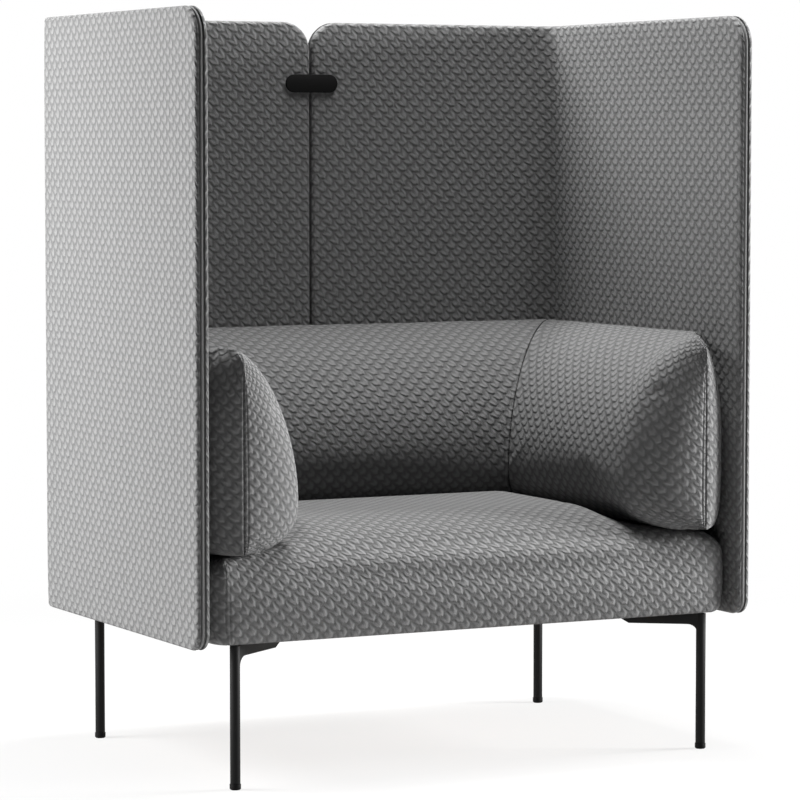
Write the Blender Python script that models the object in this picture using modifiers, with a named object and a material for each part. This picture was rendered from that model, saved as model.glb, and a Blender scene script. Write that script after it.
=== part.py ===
"""One-seat high-back lounge sofa: two bent padded screens round a low seat with three bolsters.

Metres, +Z up. X runs to the right as seen from the front and Y runs to the back.
The origin is on the floor, under the centre of the sofa.
"""

import math

import bmesh
import bpy
from mathutils import Matrix, Vector

# Overall sizes
WIDTH = 1.114
SCREEN_DEPTH = 0.735
HEIGHT = 1.350
GAP = 0.0003  # clearance between pieces that touch

# Screens: a bent board between two pads, with a border strip round its edge
SCREEN_BOTTOM = 0.248
SCREEN_THICKNESS = 0.026
BOARD_THICKNESS = 0.012
EDGE_BAND_DEPTH = 0.006
BEND_RADIUS = 0.055  # outer face, in plan
TOP_CORNER_RADIUS = 0.055
BOTTOM_CORNER_RADIUS = 0.030
SLIT = 0.003  # between the two screens at the back

# Connector: a plate on each side of the slit, with two screws through the screens
CLIP_LENGTH = 0.110
CLIP_HEIGHT = 0.035
CLIP_THICKNESS = 0.005
CLIP_BELOW_TOP = 0.118
CLIP_SCREW_SPACING = 0.070
CLIP_SCREW_DIAMETER = 0.006
CLIP_HEAD_DIAMETER = 0.012
CLIP_HEAD_HEIGHT = 0.003
CLIP_THREAD_DEPTH = 0.0035  # in the front plate

# Seat block
SEAT_BOTTOM = 0.252
SEAT_SETBACK = 0.015  # behind the front edge of the screens
SEAT_CLEARANCE = 0.002  # to the screens
SEAT_CROWN = 0.445  # height of the middle of the seat
SEAT_CORNER_RADIUS = 0.040  # in plan
SEAT_EDGE_RADIUS = 0.045  # round the top
SEAT_HEM_RADIUS = 0.010  # round the bottom
SEAT_FRONT_RISE = 0.160  # length over which the crown rises behind the front edge
SEAT_RISE_START = 0.7  # where the crown starts to rise beside a bolster, in belly depths
SEAT_RISE_END = 1.2
SEAT_LEAST_RADIUS = 0.004  # of the corners of the rings on top
SEAT_TOP_RINGS = 8
SEAT_TOP_REACH = 0.94  # how far the rings go in, as a share of the half depth
SEAT_FOAM_FRONT = 0.025
SEAT_FOAM_SIDE = 0.012  # sides and rear

# Seat frame inside the block
BASE_PANEL_THICKNESS = 0.010
RAIL_HEIGHT = 0.060
RAIL_THICKNESS = 0.022
STRAP_WIDTH = 0.050
STRAP_THICKNESS = 0.0025
STRAP_COUNT = 5

# Bolsters: a D section with a low belly, mitred at the rear corners
BOLSTER_BOTTOM = 0.405
BOLSTER_TOP = 0.765
BELLY_RISE = 0.086  # height of the fullest point above the bottom
BELLY_DEPTH = 0.208  # from the screen
UPPER_FULLNESS = 1.82  # exponents of the two halves of the section
LOWER_FULLNESS = 2.7
NOSE_SETBACK = 0.006  # of the arm's front behind the screen's front edge
NOSE_RIDGE = 0.066  # distance of the front seam from the screen
NOSE_OUTER_DEPTH = 0.065  # depth of the rounding outside the seam
NOSE_INNER_DEPTH = 0.087  # depth of the rounding inside the seam
NOSE_INNER_FULLNESS = 2.2  # exponent of that rounding in plan
NOSE_TOP_DEPTH = 0.052  # depth of the rounding at the top and bottom
NOSE_TOP_DROP = 0.030
NOSE_BOTTOM_LIFT = 0.003
NOSE_FLAT = 0.004  # the rounded end is cut flat this far in
STRIP_ROUND = 0.054  # how far the strip outside the seam rounds back at its top and bottom
STRIP_FULLNESS = 1.9  # exponent of that rounding
STRIP_START = 0.030  # distances behind the tip where the rounding is full, starts to fade and ends
STRIP_FADE = 0.060
STRIP_END = 0.150
SEAM_DRAW = 0.003  # how far the mitre seam draws the cover in
SEAM_LENGTH = 0.012  # length over which it does
BOLSTER_BOARD_THICKNESS = 0.009
BOLSTER_BOARD_MARGIN = 0.040  # above and below the board, and past its studs
STUD_DIAMETER = 0.008
STUD_DEPTH = 0.007  # in the bolster's board
STUD_GRIP = 0.009  # in the screen's board
ARM_STUD_SPACING = 0.180
BACK_STUD_SPACING = 0.300

# Bolts from the seat frame into the screens
BOLT_DIAMETER = 0.008
BOLT_HEAD_DIAMETER = 0.016
BOLT_HEAD_HEIGHT = 0.004
BOLT_GRIP = 0.009  # in the screen's board
SIDE_BOLT_SPACING = 0.360
REAR_BOLT_SPACING = 0.500

# Legs: a round post with an arm under the seat, and a glide that screws into the post
LEG_DIAMETER = 0.018
LEG_SIDE_INSET = 0.0854  # axis to the outer face of the side
LEG_FRONT_INSET = 0.032
LEG_REAR_INSET = 0.0875
LEG_ARM_LENGTH = 0.163  # from the axis
LEG_ARM_DEPTH = 0.020
LEG_ARM_WIDTH = 0.014
LEG_ARM_ANGLE = math.radians(36)  # from the X axis
LEG_ARM_CHAMFER = 0.030
LEG_ARM_TIP = 0.003  # height of the chamfered end
LEG_FILLET = 0.018
LEG_SCREW_PLACES = (0.055, 0.115)  # along the arm
LEG_SCREW_DIAMETER = 0.005
LEG_SCREW_GRIP = 0.008  # in the base panel
LEG_HEAD_DIAMETER = 0.009
LEG_HEAD_HEIGHT = 0.004
LEG_HEAD_RECESS = 0.006
GLIDE_DIAMETER = 0.020
GLIDE_HEIGHT = 0.010
GLIDE_CHAMFER = 0.002
STEM_DIAMETER = 0.008
STEM_LENGTH = 0.030
STEM_ROOM = 0.002  # above the stem in its bore

# Facets
BEND_STEPS = 8
CORNER_STEPS = 6
HOLE_SIDES = 12
TURNED_STEPS = 16
LEG_SIDES = 20

# Planes that pieces share
FRONT_Y = -(SCREEN_DEPTH + CLIP_THICKNESS + GAP) / 2
BACK_Y = FRONT_Y + SCREEN_DEPTH
INNER_X = WIDTH / 2 - SCREEN_THICKNESS
INNER_Y = BACK_Y - SCREEN_THICKNESS
INNER_BEND = BEND_RADIUS - SCREEN_THICKNESS
PAD_THICKNESS = (SCREEN_THICKNESS - BOARD_THICKNESS) / 2 - GAP
BOARD_NEAR = PAD_THICKNESS + GAP
BOARD_FAR = BOARD_NEAR + BOARD_THICKNESS
BOARD_INNER_X = WIDTH / 2 - BOARD_FAR
BOARD_INNER_Y = BACK_Y - BOARD_FAR
SEAT_X = INNER_X - SEAT_CLEARANCE
SEAT_FRONT_Y = FRONT_Y + SEAT_SETBACK
SEAT_BACK_Y = INNER_Y - SEAT_CLEARANCE
FRAME_X = SEAT_X - SEAT_FOAM_SIDE
FRAME_FRONT_Y = SEAT_FRONT_Y + SEAT_FOAM_FRONT
FRAME_BACK_Y = SEAT_BACK_Y - SEAT_FOAM_SIDE
RAIL_BOTTOM = SEAT_BOTTOM + BASE_PANEL_THICKNESS + GAP
RAIL_TOP = RAIL_BOTTOM + RAIL_HEIGHT
RAIL_MIDDLE = RAIL_BOTTOM + RAIL_HEIGHT / 2
POCKET_TOP = RAIL_TOP + STRAP_THICKNESS + 2 * GAP
BELLY_Z = BOLSTER_BOTTOM + BELLY_RISE
BOLSTER_MIDDLE = (BOLSTER_BOTTOM + BOLSTER_TOP) / 2
CORNER_RELIEF = INNER_BEND * (1 - math.sqrt(0.5))
CLIP_Z = HEIGHT - CLIP_BELOW_TOP
LEG_TOP = SEAT_BOTTOM - GAP
LEG_X = WIDTH / 2 - LEG_SIDE_INSET
LEG_FRONT_Y = FRONT_Y + LEG_FRONT_INSET
LEG_REAR_Y = BACK_Y - LEG_REAR_INSET

for old in list(bpy.data.objects):
    bpy.data.objects.remove(old, do_unlink=True)

parts = bpy.data.collections.new("high_back_sofa")
cutters = bpy.data.collections.new("cutters")
bpy.context.scene.collection.children.link(parts)
bpy.context.scene.collection.children.link(cutters)


# Materials

def material(name, colour, roughness, metallic=0.0):
    made = bpy.data.materials.new(name)
    made.use_nodes = True
    shader = made.node_tree.nodes["Principled BSDF"]
    shader.inputs["Base Color"].default_value = (*colour, 1.0)
    shader.inputs["Roughness"].default_value = roughness
    shader.inputs["Metallic"].default_value = metallic
    return made


FABRIC = material("grey_fabric", (0.20, 0.20, 0.20), 0.9)
BORDER = material("grey_border", (0.17, 0.17, 0.17), 0.9)
PLYWOOD = material("plywood", (0.62, 0.47, 0.30), 0.7)
TIMBER = material("beech", (0.66, 0.49, 0.32), 0.65)
WEBBING = material("webbing", (0.05, 0.05, 0.05), 0.85)
BLACK_METAL = material("black_powder_coat", (0.012, 0.012, 0.012), 0.45)
BLACK_PLASTIC = material("black_plastic", (0.012, 0.012, 0.012), 0.5)
ZINC = material("zinc_steel", (0.55, 0.56, 0.57), 0.35, 1.0)


# Helpers

def add(name, mesh, finish, collection=parts):
    piece = bpy.data.objects.new(name, mesh)
    collection.objects.link(piece)
    if finish:
        mesh.materials.append(finish)
    return piece


def add_cutter(name, mesh):
    piece = add(name, mesh, None, cutters)
    piece.hide_render = True
    piece.display_type = "WIRE"
    return piece


def cut(piece, cutter, operation="DIFFERENCE"):
    boolean = piece.modifiers.new(cutter.name, "BOOLEAN")
    boolean.object = cutter
    boolean.operation = operation
    boolean.solver = "EXACT"


def mesh_from(bm, name):
    bmesh.ops.recalc_face_normals(bm, faces=bm.faces)
    mesh = bpy.data.meshes.new(name)
    bm.to_mesh(mesh)
    bm.free()
    return mesh


def evaluated_mesh(piece):
    graph = bpy.context.evaluated_depsgraph_get()
    return bpy.data.meshes.new_from_object(piece.evaluated_get(graph))


def extruded(name, outline, low, high):
    """A flat outline in X and Y, extruded from low to high, as a welded mesh."""
    curve = bpy.data.curves.new(name, "CURVE")
    curve.dimensions = "2D"
    curve.fill_mode = "BOTH"
    curve.extrude = (high - low) / 2
    spline = curve.splines.new("POLY")
    spline.points.add(len(outline) - 1)
    for point, (x, y) in zip(spline.points, outline):
        point.co = (x, y, 0, 1)
    spline.use_cyclic_u = True
    drawn = bpy.data.objects.new(name, curve)
    parts.objects.link(drawn)
    mesh = evaluated_mesh(drawn)
    bpy.data.objects.remove(drawn, do_unlink=True)
    bpy.data.curves.remove(curve)
    bm = bmesh.new()
    bm.from_mesh(mesh)
    bpy.data.meshes.remove(mesh)
    bmesh.ops.remove_doubles(bm, verts=bm.verts, dist=0.00001)
    bmesh.ops.dissolve_limit(bm, angle_limit=math.radians(0.2), verts=bm.verts, edges=bm.edges)
    bmesh.ops.translate(bm, verts=bm.verts, vec=(0, 0, (low + high) / 2))
    return mesh_from(bm, name)


def box(name, low, high):
    """A box between two corners."""
    bm = bmesh.new()
    bmesh.ops.create_cube(bm, size=1)
    size = Vector(high) - Vector(low)
    bmesh.ops.scale(bm, verts=bm.verts, vec=size)
    bmesh.ops.translate(bm, verts=bm.verts, vec=(Vector(high) + Vector(low)) / 2)
    return mesh_from(bm, name)


def turned(name, profile, steps):
    """A profile of radius and height, from the top of the axis to its bottom, turned about Z."""
    bm = bmesh.new()
    points = [bm.verts.new((radius, 0, height)) for radius, height in profile]
    for first, second in zip(points, points[1:]):
        bm.edges.new((first, second))
    mesh = bpy.data.meshes.new(name)
    bm.to_mesh(mesh)
    bm.free()
    drawn = add(name, mesh, None)
    screw = drawn.modifiers.new("turn", "SCREW")
    screw.steps = steps
    screw.render_steps = steps
    screw.use_merge_vertices = True
    screw.merge_threshold = 0.00001
    solid = evaluated_mesh(drawn)
    bpy.data.objects.remove(drawn, do_unlink=True)
    return solid


def drills(name, holes):
    """Round cutters, each from a start to an end with a diameter."""
    bm = bmesh.new()
    for start, end, diameter in holes:
        along = Vector(end) - Vector(start)
        turn = along.to_track_quat("Z", "Y").to_matrix().to_4x4()
        place = Matrix.Translation((Vector(start) + Vector(end)) / 2) @ turn
        bmesh.ops.create_cone(
            bm,
            cap_ends=True,
            segments=HOLE_SIDES,
            radius1=diameter / 2,
            radius2=diameter / 2,
            depth=along.length,
            matrix=place,
        )
    return add_cutter(name, mesh_from(bm, name))


def loft(name, rings):
    """Closed rings of like counts, skinned in order, with a flat face on each end."""
    bm = bmesh.new()
    loops = [[bm.verts.new(point) for point in ring] for ring in rings]
    for first, second in zip(loops, loops[1:]):
        for i in range(len(first)):
            j = (i + 1) % len(first)
            bm.faces.new((first[i], first[j], second[j], second[i]))
    bm.faces.new(loops[0])
    bm.faces.new(loops[-1])
    return mesh_from(bm, name)


def arc(centre, radius, start, end, steps):
    """Points on an arc, with its angles in degrees."""
    angles = [math.radians(start + (end - start) * i / steps) for i in range(steps + 1)]
    return [(centre[0] + radius * math.cos(a), centre[1] + radius * math.sin(a)) for a in angles]


def evenly(count, spacing):
    """Places a spacing apart, centred on zero."""
    return [(i - (count - 1) / 2) * spacing for i in range(count)]


# Screens

def screen_path(offset, inset):
    """The right screen's plan line at an offset from its outer face, from its front to the slit."""
    x = WIDTH / 2 - offset
    y = BACK_Y - offset
    centre = (WIDTH / 2 - BEND_RADIUS, BACK_Y - BEND_RADIUS)
    bend = arc(centre, BEND_RADIUS - offset, 0, 90, BEND_STEPS)
    return [(x, FRONT_Y + inset)] + bend + [(SLIT / 2 + inset, y)]


def screen_sheet(name, side, near, far, inset):
    """One layer of a screen between two offsets, with its four corners rounded."""
    outline = screen_path(near, inset) + screen_path(far, inset)[::-1]
    outline = [(side * x, y) for x, y in outline]
    low = SCREEN_BOTTOM + inset
    high = HEIGHT - inset
    mesh = extruded(name, outline, low, high)
    bm = bmesh.new()
    bm.from_mesh(mesh)
    bpy.data.meshes.remove(mesh)
    front = FRONT_Y + inset
    slit = SLIT / 2 + inset
    for height, radius in ((high, TOP_CORNER_RADIUS), (low, BOTTOM_CORNER_RADIUS)):
        corners = []
        for edge in bm.edges:
            level = all(abs(v.co.z - height) < GAP / 2 for v in edge.verts)
            at_front = all(abs(v.co.y - front) < GAP / 2 for v in edge.verts)
            at_slit = all(abs(abs(v.co.x) - slit) < GAP / 2 for v in edge.verts)
            if level and (at_front or at_slit):
                corners.append(edge)
        bmesh.ops.bevel(
            bm,
            geom=corners,
            offset=radius - inset,
            offset_type="OFFSET",
            segments=CORNER_STEPS,
            profile=0.5,
            affect="EDGES",
        )
    return mesh_from(bm, name)


def screen_holes(side):
    """Holes through a screen's layers for its connector screw, frame bolts and bolster studs."""
    clip_x = side * CLIP_SCREW_SPACING / 2
    clip_hole = CLIP_SCREW_DIAMETER + 2 * GAP
    holes = [((clip_x, INNER_Y - GAP, CLIP_Z), (clip_x, BACK_Y + GAP, CLIP_Z), clip_hole)]
    fixings = (
        (BOLT_DIAMETER, BOLT_GRIP, RAIL_MIDDLE, SIDE_BOLT_SPACING, REAR_BOLT_SPACING,
         FRAME_X - RAIL_THICKNESS - GAP, FRAME_BACK_Y - RAIL_THICKNESS - GAP),
        (STUD_DIAMETER, STUD_GRIP, BOLSTER_MIDDLE, ARM_STUD_SPACING, BACK_STUD_SPACING,
         INNER_X - GAP, INNER_Y - GAP),
    )
    for diameter, grip, z, side_spacing, rear_spacing, start_x, start_y in fixings:
        end_x = BOARD_INNER_X + grip + GAP
        end_y = BOARD_INNER_Y + grip + GAP
        hole = diameter + 2 * GAP
        for y in evenly(2, side_spacing):
            holes.append(((side * start_x, y, z), (side * end_x, y, z), hole))
        rear_x = side * rear_spacing / 2
        holes.append(((rear_x, start_y, z), (rear_x, end_y, z), hole))
    return holes


def build_screen(word, side):
    holes = drills(f"{word}_screen_drills", screen_holes(side))
    layers = (
        ("outer_pad", 0, PAD_THICKNESS, 0, FABRIC),
        ("board", BOARD_NEAR, BOARD_FAR, EDGE_BAND_DEPTH + GAP, PLYWOOD),
        ("inner_pad", BOARD_FAR + GAP, SCREEN_THICKNESS, 0, FABRIC),
    )
    for layer, near, far, inset, finish in layers:
        name = f"{word}_screen_{layer}"
        piece = add(name, screen_sheet(name, side, near, far, inset), finish)
        cut(piece, holes)
    band_name = f"{word}_screen_edge_band"
    band = add(band_name, screen_sheet(band_name, side, BOARD_NEAR, BOARD_FAR, 0), BORDER)
    core_name = f"{word}_screen_core"
    core = screen_sheet(core_name, side, BOARD_NEAR - GAP, BOARD_FAR + GAP, EDGE_BAND_DEPTH)
    cut(band, add_cutter(core_name, core))
    return holes


# Connector

def stadium(length, height):
    radius = height / 2
    middle = length / 2 - radius
    right = arc((middle, 0), radius, -90, 90, 2 * CORNER_STEPS)
    left = arc((-middle, 0), radius, 90, 270, 2 * CORNER_STEPS)
    return right + left


def upright(piece, y, z):
    """Stands a plate drawn in X and Y up in X and Z, with its low face to the back."""
    piece.rotation_euler = (math.radians(90), 0, 0)
    piece.location = (0, y, z)


def build_connector():
    outline = stadium(CLIP_LENGTH, CLIP_HEIGHT)
    hole = CLIP_SCREW_DIAMETER + 2 * GAP
    recess = CLIP_HEAD_DIAMETER + 2 * GAP
    front_face = INNER_Y - GAP
    rear_face = BACK_Y + GAP
    head_face = rear_face + CLIP_THICKNESS - CLIP_HEAD_HEIGHT
    front = add(
        "connector_front_plate",
        extruded("connector_front_plate", outline, 0, CLIP_THICKNESS),
        BLACK_PLASTIC,
    )
    upright(front, front_face, CLIP_Z)
    rear = add(
        "connector_rear_plate",
        extruded("connector_rear_plate", outline, -CLIP_THICKNESS, 0),
        BLACK_PLASTIC,
    )
    upright(rear, rear_face, CLIP_Z)
    holes = []
    sockets = []
    tip = front_face - CLIP_THREAD_DEPTH
    for x in evenly(2, CLIP_SCREW_SPACING):
        holes.append(((x, tip - GAP, CLIP_Z), (x, head_face + GAP, CLIP_Z), hole))
        behind = rear_face + 2 * CLIP_THICKNESS
        sockets.append(((x, head_face - GAP, CLIP_Z), (x, behind, CLIP_Z), recess))
    through = drills("connector_drills", holes)
    counterbores = drills("connector_counterbores", sockets)
    cut(front, through)
    cut(rear, through)
    cut(rear, counterbores)
    shank = head_face - tip
    profile = (
        (0, CLIP_HEAD_HEIGHT),
        (CLIP_HEAD_DIAMETER / 2, CLIP_HEAD_HEIGHT),
        (CLIP_HEAD_DIAMETER / 2, 0),
        (CLIP_SCREW_DIAMETER / 2, 0),
        (CLIP_SCREW_DIAMETER / 2, -shank),
        (0, -shank),
    )
    mesh = turned("connector_screw", profile, TURNED_STEPS)
    mesh.materials.append(ZINC)
    for word, x in zip(("left", "right"), evenly(2, CLIP_SCREW_SPACING)):
        screw = add(f"connector_screw_{word}", mesh, None)
        screw.location = (x, head_face, CLIP_Z)
        screw.rotation_euler = (math.radians(-90), 0, 0)


# Seat

def smooth(low, high, value):
    """Zero below low, one above high, with an even rise between."""
    t = min(max((value - low) / (high - low), 0), 1)
    return t * t * (3 - 2 * t)


def seat_outline(inset, points_across=9, points_along=6):
    """The seat's plan, drawn in by an inset: four arcs with points along the straights."""
    front_radius = max(SEAT_CORNER_RADIUS - inset, SEAT_LEAST_RADIUS)
    rear_radius = max(SEAT_CORNER_RADIUS - inset, INNER_BEND - inset, SEAT_LEAST_RADIUS)
    x = SEAT_X - inset
    y0 = SEAT_FRONT_Y + inset
    y1 = SEAT_BACK_Y - inset
    corners = (
        ((x - front_radius, y0 + front_radius), front_radius, -90, points_along),
        ((x - rear_radius, y1 - rear_radius), rear_radius, 0, points_across),
        ((-x + rear_radius, y1 - rear_radius), rear_radius, 90, points_along),
        ((-x + front_radius, y0 + front_radius), front_radius, 180, points_across),
    )
    arcs = [arc(centre, radius, start, start + 90, 4) for centre, radius, start, _ in corners]
    outline = []
    for i, points in enumerate(arcs):
        outline += points
        end = Vector(points[-1])
        start = Vector(arcs[(i + 1) % 4][0])
        count = corners[i][3]
        for k in range(1, count):
            outline.append(tuple(end.lerp(start, k / count)))
    return outline


def seat_height(x, y):
    """The seat's top: level under the bolsters, and crowned between them."""
    rim = BOLSTER_BOTTOM - GAP
    clear = min(INNER_X - abs(x), INNER_Y - y)
    beside = smooth(SEAT_RISE_START * BELLY_DEPTH, SEAT_RISE_END * BELLY_DEPTH, clear)
    front = min(max((y - SEAT_FRONT_Y - SEAT_EDGE_RADIUS) / SEAT_FRONT_RISE, 0), 1)
    return rim + (SEAT_CROWN - rim) * beside * (1 - (1 - front) ** 2)


def seat_rings():
    rings = []
    for degrees in (0, 45, 90):
        angle = math.radians(degrees)
        inset = SEAT_HEM_RADIUS * (1 - math.sin(angle))
        z = SEAT_BOTTOM + SEAT_HEM_RADIUS * (1 - math.cos(angle))
        rings.append([(px, py, z) for px, py in seat_outline(inset)])
    rim = BOLSTER_BOTTOM - GAP
    for degrees in (0, 22.5, 45, 67.5, 90):
        angle = math.radians(degrees)
        inset = SEAT_EDGE_RADIUS * (1 - math.cos(angle))
        z = rim - SEAT_EDGE_RADIUS * (1 - math.sin(angle))
        rings.append([(px, py, z) for px, py in seat_outline(inset)])
    half_depth = (SEAT_BACK_Y - SEAT_FRONT_Y) / 2
    reach = (half_depth - SEAT_EDGE_RADIUS) * SEAT_TOP_REACH
    for i in range(1, SEAT_TOP_RINGS + 1):
        inset = SEAT_EDGE_RADIUS + reach * i / SEAT_TOP_RINGS
        rings.append([(px, py, seat_height(px, py)) for px, py in seat_outline(inset)])
    return rings


def build_seat_frame():
    base = add(
        "base_panel",
        box(
            "base_panel",
            (-FRAME_X + GAP, FRAME_FRONT_Y + GAP, SEAT_BOTTOM),
            (FRAME_X - GAP, FRAME_BACK_Y - GAP, SEAT_BOTTOM + BASE_PANEL_THICKNESS),
        ),
        PLYWOOD,
    )
    rails = {}
    for word, side in (("left", -1), ("right", 1)):
        outer = side * (FRAME_X - GAP)
        inner = side * (FRAME_X - RAIL_THICKNESS)
        low = (min(outer, inner), FRAME_FRONT_Y + GAP, RAIL_BOTTOM)
        high = (max(outer, inner), FRAME_BACK_Y - GAP, RAIL_TOP)
        rails[word] = add(f"seat_rail_{word}", box(f"seat_rail_{word}", low, high), TIMBER)
    reach = FRAME_X - RAIL_THICKNESS - GAP
    ends = (
        ("front", FRAME_FRONT_Y + GAP, FRAME_FRONT_Y + RAIL_THICKNESS),
        ("rear", FRAME_BACK_Y - RAIL_THICKNESS, FRAME_BACK_Y - GAP),
    )
    for word, y0, y1 in ends:
        mesh = box(f"seat_rail_{word}", (-reach, y0, RAIL_BOTTOM), (reach, y1, RAIL_TOP))
        rails[word] = add(f"seat_rail_{word}", mesh, TIMBER)
    strap_low = RAIL_TOP + GAP
    spacing = 2 * reach / STRAP_COUNT
    for number, x in enumerate(evenly(STRAP_COUNT, spacing), 1):
        low = (x - STRAP_WIDTH / 2, FRAME_FRONT_Y + GAP, strap_low)
        high = (x + STRAP_WIDTH / 2, FRAME_BACK_Y - GAP, strap_low + STRAP_THICKNESS)
        add(f"webbing_strap_{number}", box(f"webbing_strap_{number}", low, high), WEBBING)
    return base, rails


def build_seat(screen_drills):
    seat = add("seat_cushion", loft("seat_cushion", seat_rings()), FABRIC)
    pocket = add_cutter(
        "seat_pocket",
        box(
            "seat_pocket",
            (-FRAME_X, FRAME_FRONT_Y, SEAT_BOTTOM - BASE_PANEL_THICKNESS),
            (FRAME_X, FRAME_BACK_Y, POCKET_TOP),
        ),
    )
    cut(seat, pocket)
    base, rails = build_seat_frame()
    for word in ("left", "right"):
        cut(seat, screen_drills[word])
        cut(rails[word], screen_drills[word])
        cut(rails["rear"], screen_drills[word])
    return base


def build_bolts():
    """Bolts from inside the seat frame into the screens' boards."""
    side_length = BOARD_INNER_X + BOLT_GRIP - (FRAME_X - RAIL_THICKNESS - GAP)
    rear_length = BOARD_INNER_Y + BOLT_GRIP - (FRAME_BACK_Y - RAIL_THICKNESS - GAP)
    meshes = {}
    for word, length in (("side", side_length), ("rear", rear_length)):
        profile = (
            (0, BOLT_HEAD_HEIGHT),
            (BOLT_HEAD_DIAMETER / 2, BOLT_HEAD_HEIGHT),
            (BOLT_HEAD_DIAMETER / 2, 0),
            (BOLT_DIAMETER / 2, 0),
            (BOLT_DIAMETER / 2, -length),
            (0, -length),
        )
        meshes[word] = turned(f"{word}_bolt", profile, TURNED_STEPS)
        meshes[word].materials.append(ZINC)
    for word, side in (("left", -1), ("right", 1)):
        for place, y in zip(("front", "back"), evenly(2, SIDE_BOLT_SPACING)):
            bolt = add(f"frame_bolt_{word}_{place}", meshes["side"], None)
            bolt.location = (side * (FRAME_X - RAIL_THICKNESS - GAP), y, RAIL_MIDDLE)
            bolt.rotation_euler = (0, math.radians(-90 * side), 0)
        bolt = add(f"frame_bolt_rear_{word}", meshes["rear"], None)
        rear_face = FRAME_BACK_Y - RAIL_THICKNESS - GAP
        bolt.location = (side * REAR_BOLT_SPACING / 2, rear_face, RAIL_MIDDLE)
        bolt.rotation_euler = (math.radians(90), 0, 0)


# Bolsters

def bolster_section():
    """The D section as distance from the screen and height, from the top round to the back."""
    section = []
    for degrees in range(90, -1, -10):
        a = math.radians(degrees)
        depth = BELLY_DEPTH * math.cos(a) ** (2 / UPPER_FULLNESS) if degrees < 90 else 0
        rise = math.sin(a) ** (2 / UPPER_FULLNESS)
        section.append((depth, BELLY_Z + (BOLSTER_TOP - BELLY_Z) * rise))
    for degrees in range(15, 91, 15):
        a = math.radians(degrees)
        depth = BELLY_DEPTH * math.cos(a) ** (2 / LOWER_FULLNESS) if degrees < 90 else 0
        fall = math.sin(a) ** (2 / LOWER_FULLNESS)
        section.append((depth, BELLY_Z - BELLY_RISE * fall))
    half = (BOLSTER_TOP - BOLSTER_BOTTOM) / 2
    for degrees in range(-60, 61, 30):
        section.append((0, BOLSTER_MIDDLE + half * math.sin(math.radians(degrees))))
    return section


def fitted(section, near, far, low, high, strip=0.0):
    """The section squeezed between two distances and two heights, its back rounded by a strip."""
    edge = near + strip
    ring = []
    for depth, z in section:
        share = (z - BOLSTER_BOTTOM) / (BOLSTER_TOP - BOLSTER_BOTTOM)
        off_middle = min(abs(2 * share - 1), 1)
        fullness = (1 - off_middle**STRIP_FULLNESS) ** (1 / STRIP_FULLNESS)
        back = edge - strip * fullness
        across = edge + (far - edge) * depth / BELLY_DEPTH if depth > 0 else back
        ring.append((across, low + (high - low) * share))
    return ring


def bulge(distance, depth, power=2):
    """How full a rounded end is at a distance behind its tip, from 0 to 1."""
    if distance >= depth:
        return 1.0
    return (1 - (1 - distance / depth) ** power) ** (1 / power)


def nose_ring(section, distance):
    """The arm's section at a distance behind the tip of its rounded front."""
    near = NOSE_RIDGE * (1 - bulge(distance, NOSE_OUTER_DEPTH)) + GAP
    full = bulge(distance, NOSE_INNER_DEPTH, NOSE_INNER_FULLNESS)
    far = NOSE_RIDGE + (BELLY_DEPTH - NOSE_RIDGE) * full
    strip = STRIP_ROUND * bulge(distance, STRIP_START) * (1 - smooth(STRIP_FADE, STRIP_END, distance))
    drop = 1 - bulge(distance, NOSE_TOP_DEPTH)
    low = BOLSTER_BOTTOM + NOSE_BOTTOM_LIFT * drop
    high = BOLSTER_TOP - NOSE_TOP_DROP * drop
    return fitted(section, near, far, low, high, min(strip, NOSE_RIDGE - near))


def bend_room(distance):
    """How far the screens' inner bend reaches in at a distance from the wall behind it."""
    if distance >= INNER_BEND:
        return 0.0
    return INNER_BEND - math.sqrt(INNER_BEND**2 - (INNER_BEND - distance) ** 2)


def mitre_rings(section):
    """The two rings at a mitre: a full one short of it, and one drawn in at the seam."""
    full = fitted(section, bend_room(SEAM_LENGTH) + GAP, BELLY_DEPTH, BOLSTER_BOTTOM, BOLSTER_TOP)
    drawn = fitted(
        section,
        CORNER_RELIEF + GAP,
        BELLY_DEPTH - SEAM_DRAW,
        BOLSTER_BOTTOM + SEAM_DRAW / 2,
        BOLSTER_TOP - SEAM_DRAW,
    )
    return (SEAM_LENGTH, full), (GAP, drawn)


def arm_rings(side):
    section = bolster_section()
    tip = FRONT_Y + NOSE_SETBACK - NOSE_FLAT
    distances = [NOSE_FLAT]
    for degrees in (26, 38, 50, 62, 75, 90):
        distances.append(NOSE_INNER_DEPTH * (1 - math.cos(math.radians(degrees))))
    distances += [(distances[-1] + STRIP_END) / 2, STRIP_END]
    straight_end = INNER_Y - BELLY_DEPTH - 2 * SEAM_LENGTH - tip
    distances.append((distances[-1] + straight_end) / 2)
    distances.append(straight_end)
    rings = []
    for distance in distances:
        ring = nose_ring(section, distance)
        rings.append([(side * (INNER_X - m), tip + distance, z) for m, z in ring])
    for short, ring in mitre_rings(section):
        rings.append([(side * (INNER_X - m), INNER_Y - m - short, z) for m, z in ring])
    return rings


def back_rings():
    section = bolster_section()
    half = []
    for short, ring in reversed(mitre_rings(section)):
        half.append([(INNER_X - m - short, INNER_Y - m, z) for m, z in ring])
    straight = fitted(section, GAP, BELLY_DEPTH, BOLSTER_BOTTOM, BOLSTER_TOP)
    reach = INNER_X - BELLY_DEPTH - 2 * SEAM_LENGTH
    for x in (reach, reach / 3):
        half.append([(x, INNER_Y - m, z) for m, z in straight])
    other = [[(-x, y, z) for x, y, z in ring] for ring in reversed(half)]
    return half + other


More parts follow.
